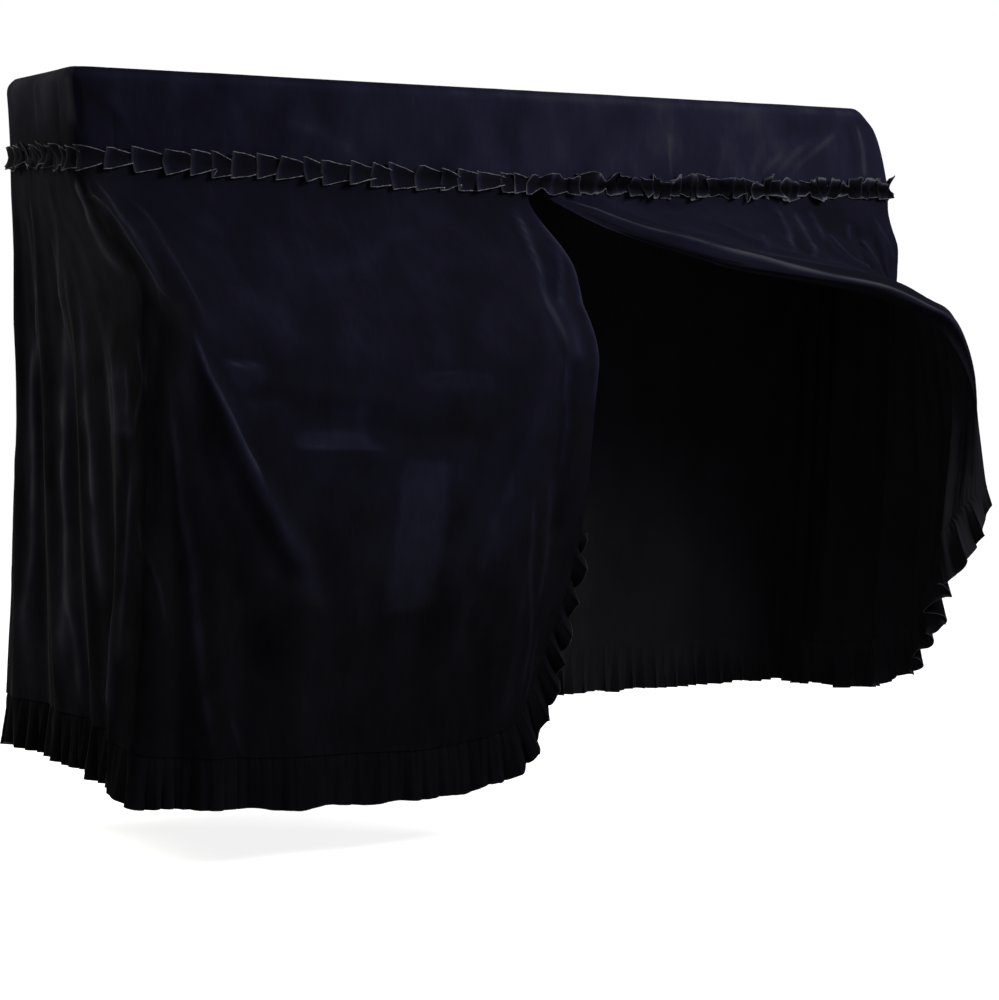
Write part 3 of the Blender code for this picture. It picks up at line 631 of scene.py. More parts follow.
def pileAndPaintedPatches(patches, x, y, placeOf):
    # patches with fairly sharp edges: the pile lying another way, partly painted highlight, and painted shade
    # where their strength is negative
    napAndPaintedLight = np.zeros_like(x)
    for places, strength, softness in patches:
        corners = np.array([placeOf(*place) for place in places])
        middle = corners.mean(axis=0)
        mask = np.ones_like(x)
        for start, end in zip(corners, np.roll(corners, -1, axis=0)):
            side = np.array([end[1] - start[1], start[0] - end[0]])
            side = side / np.linalg.norm(side)
            side = side * np.sign((middle - start) @ side)
            inside = ((x - start[0]) * side[0] + (y - start[1]) * side[1]) / softness
            mask = mask * np.clip(inside * 0.5 + 0.5, 0.0, 1.0)
        napAndPaintedLight += strength * mask
    return napAndPaintedLight


def addObject(name, vertices, faces, materials):
    mesh = bpy.data.meshes.new(name)
    mesh.from_pydata([tuple(vertex) for vertex in vertices], [], faces)
    for material in materials:
        mesh.materials.append(material)
    thing = bpy.data.objects.new(name, mesh)
    bpy.context.scene.collection.objects.link(thing)
    return thing


def makeActive(thing):
    deselectAll()
    thing.select_set(True)
    bpy.context.view_layer.objects.active = thing


def cornersOf(row, column, after):
    # a square's four corners, turned so that its face points outwards
    return (row, column), (row + 1, column), (row + 1, after), (row, after)


def sheetObject(name, points, cloth, napAndPaintedLight, thickness, materials, closed=False, paintedGreyness=0.0):
    # a grid of points made into a thin closed sheet, with its UV map in metres, its tone of pile and painted
    # light, and its painted shade that greys it
    rows, columns = points.shape[:2]
    spans = columns if closed else columns - 1
    row, column = np.meshgrid(np.arange(rows - 1), np.arange(spans), indexing="ij")
    squares = cornersOf(row, column, (column + 1) % columns)
    faces = np.stack([atRow * columns + atColumn for atRow, atColumn in squares], axis=-1)
    thing = addObject(name, points.reshape(-1, 3), faces.reshape(-1, 4).tolist(), materials)
    mesh = thing.data
    unwrapped = np.stack([cloth[corner] for corner in cornersOf(row, column, column + 1)], axis=-2)
    layer = mesh.uv_layers.new(name="cloth")
    layer.data.foreach_set("uv", unwrapped.reshape(-1).astype(np.float32))
    for label, values in (("napAndPaintedLight", napAndPaintedLight), ("paintedGreyness", paintedGreyness + np.zeros((rows, columns)))):
        attribute = mesh.attributes.new(label, "FLOAT", "POINT")
        attribute.data.foreach_set("value", values.reshape(-1).astype(np.float32))
    makeActive(thing)
    bpy.ops.object.modifier_add(type="SOLIDIFY")
    solid = thing.modifiers[-1]
    solid.thickness = thickness
    solid.offset = 0.0
    if len(materials) > 1:
        solid.material_offset = 1
    bpy.ops.object.modifier_apply(modifier=solid.name)
    bpy.ops.object.shade_smooth_by_angle(angle=math.radians(60))
    return thing


def joinRound(points):
    return np.concatenate([points, points[:, :1]], axis=1)


def clothPlaces(points):
    # where each grid point lies on the flat cloth, in metres
    across = lengthsAlong(points[len(points) // 2])
    down = lengthsAlong(points[:, points.shape[1] // 2])
    return np.stack(np.meshgrid(across, -down), axis=-1)


def areaOf(points, closed=False):
    if closed:
        points = joinRound(points)
    across = points[:-1, 1:] - points[:-1, :-1]
    down = points[1:, :-1] - points[:-1, :-1]
    return float(np.linalg.norm(np.cross(across, down), axis=-1).sum())


def edgeThreadOf(name, corners, radius, material, closed=False):
    # the sewn edge: a row of the sheet's own points, drawn as a cord and turned into a mesh
    curve = bpy.data.curves.new(name, "CURVE")
    curve.dimensions = "3D"
    spline = curve.splines.new("POLY")
    spline.points.add(len(corners) - 1)
    places = np.column_stack([corners, np.ones(len(corners))])
    spline.points.foreach_set("co", places.reshape(-1).astype(np.float32))
    spline.use_cyclic_u = closed
    curve.bevel_depth = radius
    curve.bevel_resolution = 1
    curve.use_fill_caps = True
    cord = bpy.data.objects.new(name, curve)
    bpy.context.scene.collection.objects.link(cord)
    makeActive(cord)
    bpy.ops.object.convert(target="MESH")
    cord = bpy.context.object
    cord.data.materials.clear()
    cord.data.materials.append(material)
    bpy.ops.object.shade_smooth()
    return cord


def finishPiece(thing, nodes):
    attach(thing, "root")
    if nodes:
        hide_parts(*nodes)


# cap
def capGrid():
    stops = [0.0]
    for edge in range(4):
        corner = cap["cornerRadius"] / edgeLength(ringLine, edge)
        stops += [edge + corner, edge + 1 - corner, edge + 1]
    sides = stopsBetween(np.array(stops), cap["columns"])[:-1]
    rows = []
    for step in range(cap["edgeSteps"] + 1):
        angle = math.radians(90) * step / cap["edgeSteps"]
        inset = cap["edgeRadius"] * (1 - math.sin(angle))
        fall = cap["edgeRadius"] * (1 - math.cos(angle))
        rows.append([lidPoint(side, inset) - (0, 0, fall) for side in sides])
    shoulder = np.array(rows[-1])
    ring = np.array([ringPoint(side) for side in sides]) + (0, 0, cap["seamGap"] / 2)
    bulge = np.where(shoulder[:, 0] > 0, cap["bulgeRight"], cap["bulge"])
    for step in range(1, cap["dropSteps"] + 1):
        share = step / cap["dropSteps"]
        shares = np.stack([share**bulge, share + 0 * bulge, share + 0 * bulge], axis=-1)
        rows.append(shoulder + (ring - shoulder) * shares)
    rows = np.array(rows)
    start, stop = cap["softRows"]
    for _ in range(cap["softenings"]):
        rows[start:stop] = (rows[start - 1:stop - 1] + 2 * rows[start:stop] + rows[start + 1:stop + 1]) / 4
    # the share of the drop counts three parts round the edge and four down
    roundEdge = np.linspace(0, 3 / 7, cap["edgeSteps"] + 1)
    down = np.concatenate([roundEdge, np.linspace(3 / 7, 1, cap["dropSteps"] + 1)[1:]])
    return rows, sides, down


def seamColumn(points, xWay, yWay):
    lower = points[-1]
    away = abs(lower[:, 0] - xWay * cap["seamAt"])
    away[lower[:, 1] * yWay < 0] = math.inf
    return int(np.argmin(away))


def drapeCap():
    points, sides, down = capGrid()
    seed = cap["seed"]
    across, down = np.meshgrid(sides / 4, down)
    row = points[cap["measuredRow"]]
    lengths = lengthsAlong(np.concatenate([row, row[:1]]))
    x = np.zeros_like(down) + lengths[:-1]
    y = down * cap["flat"][1]

    def placeOf(way, fallen):
        return np.interp(way * 4, np.append(sides, 4.0), lengths), fallen * cap["flat"][1]

    pressed, paintedShine = pressCreases(cap["creases"], x, y, placeOf, seed)
    # the creases at the front left corner reach round to the last columns
    wrapped, wrappedPaintedShine = pressCreases(cap["creases"][:2], x - lengths[-1], y, placeOf, seed)
    lift = foldHeights(cap["folds"], across, down, cap["flat"])
    lift += pressed + wrapped
    lift += unevenness(x, y, cap["uneven"], seed + 1)
    points = points + gridNormals(points, closed=True) * (lift * np.interp(down, *cap["shown"]))[..., None]
    # the tone: painted light round the drop, painted highlights along the creases
    napAndPaintedLight = np.interp(across, cap["napAndLightPlaces"], cap["napAndPaintedLight"]) + paintedShine + wrappedPaintedShine
    wide, long = cap["mottleSize"]
    mottled = np.clip(softNoise(x / wide, y / long, seed + 3) * 1.6, -1, 1)
    napAndPaintedLight += cap["mottling"] * mottled * np.interp(across, *cap["mottledAt"])
    # a painted highlight below the shoulder, then painted shade on the left end
    place, wide, bright = cap["shoulderShine"]
    napAndPaintedLight += bright * np.exp(-(((down - place) / wide) ** 2))
    napAndPaintedLight += np.interp(across, *cap["endAt"]) * np.interp(down, *cap["endPaintedShade"])
    return points, across, napAndPaintedLight


def sewCap():
    points, across, napAndPaintedLight = drapeCap()
    count = points.shape[1]
    seams = [seamColumn(points, x, y) for x, y in ((-1, -1), (1, -1), (1, 1), (-1, 1))]
    for column in seams:
        points[:, column, 0] = math.copysign(cap["seamAt"], points[-1, column, 0])
    pieces = []
    names = ("capFront", "capEndRight", "capBack", "capEndLeft")
    for name, start, stop in zip(names, seams, seams[1:] + seams[:1]):
        if stop < start:
            stop += count
        picked = [index % count for index in range(start, stop + 1)]
        piece, pieceNapAndLight = points[:, picked].copy(), napAndPaintedLight[:, picked].copy()
        paintedGreyness = np.interp(across[:, picked] % 1.0, *cap["paintedGreyAt"])
        # a sewn seam draws its two edges in a little
        pull = np.zeros(len(picked))
        pull[[0, -1]] = cap["seamPull"]
        piece -= gridNormals(piece) * pull[None, :, None]
        for column, inward in ((0, 1), (-1, -2)):
            step = piece[0, inward, 0] - piece[0, column, 0]
            piece[:, column, 0] += math.copysign(cap["seamGap"] / 2, step)
        cloth = clothPlaces(piece)
        thing = sheetObject(name, piece, cloth, pieceNapAndLight, cap["cloth"], [velvet, backing], paintedGreyness=paintedGreyness)
        pieces.append((thing, piece))
    return pieces


capTopLook = {
    "inset": 0.0009,
    "columns": 241,
    "rows": 49,
    "crown": 0.0009,
    "uneven": ((0.0010, 0.16, 0.09), (0.0006, 0.05, 0.045)),
    # painted shade: the top's tone is set darker than the drop's
    "napAndPaintedLight": 0.24,
    "napChange": 0.05,
    "napSize": (0.12, 0.06),
    "seed": 21,
}


def sewCapTop():
    look = capTopLook
    halfWidth = cap["halfWidth"] - cap["edgeRadius"] - look["inset"]
    halfDepth = cap["halfDepth"] - cap["edgeRadius"] - look["inset"]
    corner = cap["cornerRadius"] - cap["edgeRadius"] * 0.5
    u, v = np.meshgrid(np.linspace(-1, 1, look["columns"]), np.linspace(-1, 1, look["rows"]))
    y = v * halfDepth
    past = np.clip(abs(y) - (halfDepth - corner), 0.0, corner)
    x = u * (halfWidth - corner + np.sqrt(np.maximum(corner**2 - past**2, 0.0)))
    inside = np.clip((1 - np.maximum(abs(u) ** 8, abs(v) ** 4)) * 2, 0.0, 1.0)
    z = cap["topHeight"] + inside * (look["crown"] + unevenness(x, y, look["uneven"], look["seed"]))
    wide, long = look["napSize"]
    napAndPaintedLight = look["napAndPaintedLight"] + look["napChange"] * softNoise(x / wide, y / long, look["seed"] + 2)
    points = np.stack([x, y, z], axis=-1)
    return sheetObject("capTop", points, np.stack([x, y], axis=-1), napAndPaintedLight, cap["cloth"], [velvet, backing])


for (thing, points), node in zip(sewCap(), ("cap_front", "cap_end_right", "cap_back", "cap_end_left")):
    finishPiece(thing, [node])
    width, length = lineLength(points[-1]), lineLength(points[:, 5])
capTop = sewCapTop()
finishPiece(capTop, ["cap_top"])
print("cap sewn")

# skirt
skirt = {
    "cloth": 0.0016,
    "underBand": -0.026,
    # shares of the drop over which the folds, the creases and the open slit come in
    "foldsIn": 0.083,
    "creasesIn": 0.03,
    "slitIn": 0.22,
    # the slit's share of the width, and the calm edges' share
    "slit": 0.10,
    "calmEdge": 0.025,
    # unevenness that runs down the cloth, as hanging velvet has: height, width and length of a bump
    "uneven": ((0.0016, 0.055, 0.24), (0.0007, 0.026, 0.11), (0.0003, 0.018, 0.034)),
    # puckers where the frill is sewn on
    "puckerHeight": 0.0007,
    "puckerPitch": 0.017,
    "puckerReach": 0.020,
    "napChange": 0.03,
    "napSize": (0.09, 0.16),
    # painted shade greys the lower part: share of the drop, how much
    "paintedGreyDown": ((0.45, 0.75), (0.0, 0.45)),
}
# Threads that hang from the ring: share of the cloth's width, side on the ring, columns to the next thread,
# how far it leans right under the band, then its places at the shoulder, knee, shin and hem.
# Folds and creases are given as on the cap, in shares of the cloth's width and drop.
leftCurtain = {
    "flat": (1.30, 0.98),
    # shares of the drop at the ring, under the band and at the four places, and the rows between them
    "stations": (0.0, 0.03, 0.20, 0.36, 0.62, 1.0),
    "rows": (1, 4, 4, 5, 5),
    "finerAcross": 7,
    "finerDown": 8,
    "threads": (
        (0.0, 3.0, 5, 0,
         (-0.74, 0.152, -0.29), (-0.736, 0.152, -0.46), (-0.748, 0.152, -0.7), (-0.764, 0.152, -0.99)),
        (0.15, 3.3, 7, 0,
         (-0.744, 0.055, -0.29), (-0.742, 0.035, -0.46), (-0.752, 0.0, -0.7), (-0.764, -0.04, -0.99)),
        (0.32, 3.7, 4, 0,
         (-0.75, -0.11, -0.28), (-0.752, -0.2, -0.43), (-0.76, -0.24, -0.7), (-0.772, -0.285, -0.995)),
        (0.4, 3.92, 2, 0,
         (-0.757, -0.228, -0.26), (-0.762, -0.352, -0.385), (-0.77, -0.375, -0.69), (-0.792, -0.366, -1.005)),
        (0.44, 4.0, 2, 0,
         (-0.755, -0.265, -0.25), (-0.757, -0.404, -0.37), (-0.764, -0.42, -0.69), (-0.788, -0.416, -1.016)),
        (0.48, 4.03, 5, 0,
         (-0.712, -0.268, -0.262), (-0.712, -0.408, -0.395), (-0.716, -0.43, -0.7), (-0.728, -0.432, -1.025)),
        (0.62, 4.13, 6, 0,
         (-0.553, -0.258, -0.29), (-0.556, -0.398, -0.445), (-0.558, -0.43, -0.71), (-0.56, -0.434, -1.036)),
        (0.78, 4.28, 7, 0,
         (-0.318, -0.256, -0.3), (-0.324, -0.398, -0.462), (-0.332, -0.428, -0.71), (-0.346, -0.432, -1.043)),
        (0.93, 4.42, 3, 0,
         (-0.068, -0.26, -0.308), (-0.088, -0.406, -0.46), (-0.112, -0.424, -0.71), (-0.168, -0.43, -1.026)),
        (1.0, 4.51, 0, 0,
         (0.057, -0.265, -0.312), (0.018, -0.414, -0.466), (-0.018, -0.422, -0.71), (-0.116, -0.424, -0.975)),
    ),
    "folds": (
        (0.055, 0.06, 0.06, 1.0, 0.022, 0.012),
        (0.115, 0.1, 0.125, 1.0, 0.022, -0.01),
        (0.175, 0.06, 0.19, 1.0, 0.02, 0.014),
        (0.23, 0.14, 0.245, 1.0, 0.02, -0.012),
        (0.285, 0.22, 0.3, 1.0, 0.018, 0.013),
        (0.335, 0.3, 0.35, 1.0, 0.016, -0.01),
        (0.375, 0.34, 0.392, 1.0, 0.016, 0.01),
        (0.445, 0.07, 0.452, 0.34, 0.015, 0.009),
        (0.475, 0.09, 0.485, 0.3, 0.015, -0.008),
        (0.505, 0.07, 0.52, 0.34, 0.016, 0.008),
        (0.495, 0.35, 0.645, 0.66, 0.018, 0.013),
        (0.47, 0.46, 0.49, 1.0, 0.024, -0.014),
        (0.535, 0.6, 0.53, 1.0, 0.024, 0.01),
        (0.6, 0.7, 0.57, 1.0, 0.026, -0.009),
        (0.655, 0.64, 0.64, 1.0, 0.028, 0.007),
        (0.56, 0.39, 0.76, 0.41, 0.016, 0.006),
        (0.62, 0.44, 0.86, 0.47, 0.018, -0.005),
        (0.64, 0.49, 0.8, 0.5, 0.016, 0.004),
        (0.76, 0.6, 0.72, 1.0, 0.03, -0.006),
        (0.85, 0.66, 0.8, 1.0, 0.03, 0.007),
        (0.965, 0.08, 0.955, 0.62, 0.016, -0.008),
        (0.93, 0.3, 0.9, 1.0, 0.024, 0.007),
    ),
    "creases": (
        (((0.424, 0.027), (0.424, 0.107), (0.406, 0.183), (0.408, 0.248),
          (0.422, 0.305)), 0.01, 0.012, 0.0035, 0.36),
        (((0.424, 0.03), (0.422, 0.107), (0.405, 0.183)), 0.004, 0.005, 0.0012, 0.18),
        (((0.45, 0.025), (0.45, 0.108), (0.44, 0.193), (0.443, 0.26)), 0.004, 0.005, 0.002, 0.2),
        (((0.462, 0.03), (0.476, 0.098), (0.483, 0.162), (0.486, 0.232),
          (0.486, 0.3)), 0.004, 0.005, 0.003, 0.26),
        (((0.445, 0.03), (0.437, 0.165), (0.437, 0.24), (0.44, 0.33)), 0.014, 0.018, -0.003, -0.16),
        (((0.505, 0.35), (0.522, 0.407), (0.544, 0.443), (0.567, 0.48),
          (0.603, 0.547)), 0.005, 0.008, 0.0045, 0.44),
        (((0.575, 0.495), (0.61, 0.57), (0.63, 0.622), (0.652, 0.681),
          (0.684, 0.764)), 0.012, 0.024, 0.003, 0.15),
        (((0.499, 0.39), (0.517, 0.473), (0.54, 0.568), (0.568, 0.683), (0.592, 0.8),
          (0.611, 0.92)), 0.02, 0.04, -0.005, -0.1),
        (((0.462, 0.31), (0.462, 0.395), (0.455, 0.447), (0.45, 0.5), (0.45, 0.559),
          (0.455, 0.64)), 0.02, 0.022, -0.007, -0.16),
        (((0.43, 0.74), (0.44, 0.86), (0.445, 1.0)), 0.026, 0.036, -0.004, -0.1),
        (((0.466, 0.42), (0.47, 0.46), (0.478, 0.52), (0.484, 0.578), (0.492, 0.63), (0.5, 0.681),
          (0.506, 0.772), (0.513, 0.86), (0.522, 0.94), (0.533, 1.0)), 0.007, 0.012, 0.004, 0.24),
        (((0.418, 0.6), (0.43, 0.63), (0.446, 0.666), (0.458, 0.715),
          (0.466, 0.78)), 0.005, 0.005, 0.0035, 0.2),
        (((0.174, 0.1), (0.172, 0.179), (0.15, 0.27), (0.112, 0.34), (0.1, 0.412), (0.104, 0.516),
          (0.102, 0.673), (0.08, 0.802), (0.084, 0.96)), 0.013, 0.016, 0.0042, 0.3),
        (((0.105, 0.3), (0.099, 0.412), (0.104, 0.516), (0.102, 0.673)), 0.005, 0.006, 0.0018, 0.2),
        (((0.293, 0.13), (0.27, 0.2), (0.245, 0.268), (0.225, 0.35), (0.219, 0.417), (0.213, 0.537),
          (0.217, 0.643), (0.216, 0.742), (0.203, 0.871), (0.206, 1.0)), 0.012, 0.016, 0.0042, 0.32),
        (((0.222, 0.4), (0.213, 0.537), (0.217, 0.643), (0.216, 0.742)), 0.004, 0.005, 0.0018, 0.26),
        (((0.216, 0.742), (0.228, 0.871), (0.232, 1.0)), 0.007, 0.01, 0.0034, 0.3),
        (((0.312, 0.27), (0.305, 0.36), (0.305, 0.433), (0.31, 0.521), (0.315, 0.635),
          (0.322, 0.76)), 0.011, 0.014, 0.0042, 0.34),
        (((0.305, 0.4), (0.309, 0.49), (0.313, 0.6)), 0.004, 0.005, 0.0018, 0.26),
        (((0.372, 0.75), (0.384, 0.833), (0.396, 0.96)), 0.011, 0.013, 0.0042, 0.34),
        (((0.935, 0.4), (0.915, 0.48), (0.885, 0.6), (0.855, 0.75),
          (0.83, 0.9)), 0.012, 0.018, 0.004, 0.08),
        (((0.88, 0.44), (0.85, 0.56), (0.815, 0.7), (0.79, 0.86)), 0.016, 0.024, -0.0035, -0.08),
        (((0.927, 0.53), (0.93, 0.68), (0.952, 0.86), (0.952, 0.97)), 0.004, 0.005, 0.0018, 0.22),
        (((0.408, 0.53), (0.404, 0.61), (0.402, 0.681), (0.4, 0.772),
          (0.402, 0.87)), 0.006, 0.008, 0.0035, 0.26),
        (((0.36, 0.36), (0.372, 0.43), (0.384, 0.5), (0.392, 0.58)), 0.006, 0.006, 0.003, 0.16),
        (((0.423, 0.4), (0.433, 0.45), (0.424, 0.475), (0.413, 0.505)), 0.004, 0.004, 0.0035, 0.28),
        (((0.372, 0.5), (0.392, 0.5), (0.413, 0.506)), 0.004, 0.004, 0.0025, 0.22),
        (((0.395, 0.425), (0.402, 0.455), (0.396, 0.485)), 0.005, 0.005, 0.0025, 0.2),
        (((0.352, 0.418), (0.37, 0.43), (0.392, 0.428)), 0.004, 0.004, 0.002, 0.16),
        (((0.015, 0.1), (0.03, 0.3), (0.022, 0.6), (0.03, 1.0)), 0.012, 0.014, 0.004, 0.14),
        (((0.545, 0.386), (0.583, 0.377), (0.611, 0.369)), 0.0035, 0.0035, 0.0008, 0.22),
        (((0.583, 0.429), (0.615, 0.427), (0.642, 0.421)), 0.0035, 0.0035, 0.0008, 0.2),
        (((0.647, 0.484), (0.704, 0.482), (0.758, 0.48)), 0.004, 0.0035, 0.001, 0.2),
        (((0.798, 0.366), (0.845, 0.37), (0.887, 0.374)), 0.004, 0.004, 0.0006, 0.1),
        (((0.985, 0.04), (0.975, 0.115), (0.968, 0.179), (0.965, 0.227), (0.966, 0.28),
          (0.969, 0.35)), 0.0045, 0.005, 0.004, 0.36),
        (((0.996, 0.13), (0.984, 0.2), (0.974, 0.265)), 0.004, 0.004, 0.003, 0.2),
        (((0.976, 0.235), (0.978, 0.293), (0.976, 0.35)), 0.009, 0.01, 0.001, 0.22),
        (((0.965, 0.34), (0.965, 0.395), (0.967, 0.435), (0.965, 0.49),
          (0.96, 0.54)), 0.004, 0.005, 0.003, 0.3),
        (((0.946, 0.53), (0.949, 0.611), (0.949, 0.683), (0.949, 0.785)), 0.006, 0.006, 0.0035, 0.16),
        (((1.0, 0.035), (1.0, 0.15), (1.0, 0.3), (1.0, 0.43)), 0.0045, 0.0045, 0.0, 0.46),
        (((0.556, 0.92), (0.566, 0.962), (0.578, 1.0)), 0.006, 0.006, 0.002, 0.16),
        (((0.923, 0.671), (0.926, 0.785), (0.926, 0.899), (0.923, 1.0)), 0.012, 0.014, 0.004, 0.1),
        (((0.957, 0.797), (0.965, 0.886), (0.973, 0.985)), 0.007, 0.007, 0.003, 0.15),
        (((0.919, 0.5), (0.902, 0.61), (0.88, 0.721)), 0.02, 0.02, 0.002, 0.05),
        (((0.704, 0.233), (0.762, 0.2), (0.841, 0.129), (0.919, 0.073)), 0.02, 0.02, 0.0012, 0.05),
        (((0.7, 0.62), (0.69, 0.76), (0.7, 0.9)), 0.03, 0.03, -0.002, -0.05),
    ),
    # corners of each patch, how far it lifts the tone (brushed pile with painted highlight, painted shade
    # where negative), softness of its edge
    "patches": (
        (((0.556, 0.38), (0.615, 0.367), (0.611, 0.403), (0.569, 0.415)), 0.13, 0.006),
        (((0.583, 0.428), (0.615, 0.427), (0.611, 0.447), (0.593, 0.452)), 0.09, 0.006),
        (((0.647, 0.464), (0.691, 0.455), (0.736, 0.464), (0.738, 0.482), (0.645, 0.486)), 0.16, 0.006),
        (((0.696, 0.421), (0.736, 0.412), (0.736, 0.473), (0.691, 0.473)), 0.09, 0.007),
        (((0.798, 0.369), (0.887, 0.377), (0.887, 0.403), (0.805, 0.395)), 0.08, 0.01),
        (((0.771, 0.499), (0.83, 0.507), (0.816, 0.747), (0.753, 0.759)), 0.17, 0.007),
        (((0.841, 0.499), (0.919, 0.525), (0.898, 0.671), (0.844, 0.658)), 0.06, 0.018),
        (((0.617, 0.34), (0.703, 0.336), (0.708, 0.438), (0.614, 0.443)), -0.06, 0.02),
        (((0.759, 0.402), (0.853, 0.402), (0.866, 0.48), (0.767, 0.485)), -0.07, 0.018),
        (((0.345, 0.405), (0.4, 0.43), (0.404, 0.5), (0.334, 0.48)), 0.12, 0.012),
        (((0.332, 0.438), (0.394, 0.464), (0.418, 0.511), (0.338, 0.5)), 0.06, 0.008),
    ),
    # painted light and shade in the tone: lighter high on the front, darker low down and in the hollow at the
    # front left corner
    "napAndLightAcross": (0.0, 0.20, 0.40, 0.455, 0.50, 0.58, 0.75, 0.92, 1.0),
    "napAndLightDown": (0.0, 0.25, 0.38, 0.50, 0.65, 0.80, 1.0),
    "napAndPaintedLight": (
        (0.34, 0.34, 0.34, 0.32, 0.38, 0.39, 0.39, 0.41, 0.38),
        (0.33, 0.34, 0.34, 0.28, 0.37, 0.39, 0.40, 0.41, 0.36),
        (0.30, 0.31, 0.27, 0.21, 0.31, 0.38, 0.38, 0.39, 0.33),
        (0.28, 0.27, 0.25, 0.20, 0.23, 0.33, 0.35, 0.34, 0.28),
        (0.29, 0.28, 0.26, 0.19, 0.23, 0.25, 0.30, 0.27, 0.20),
        (0.29, 0.29, 0.28, 0.15, 0.20, 0.20, 0.22, 0.17, 0.14),
        (0.27, 0.27, 0.25, 0.14, 0.17, 0.18, 0.17, 0.13, 0.12),
    ),
    # share of the width, how much unevenness shows there; share of the width, how much painted shade greys it
    "calmAt": ((0.40, 0.60, 0.90, 1.00), (1.0, 0.45, 0.55, 0.8)),
    "paintedGreyAt": ((0.0, 0.42, 0.47, 0.52), (0.80, 0.80, 0.70, 0.10)),
    "slitEase": 0.022,
    "seed": 31,
}
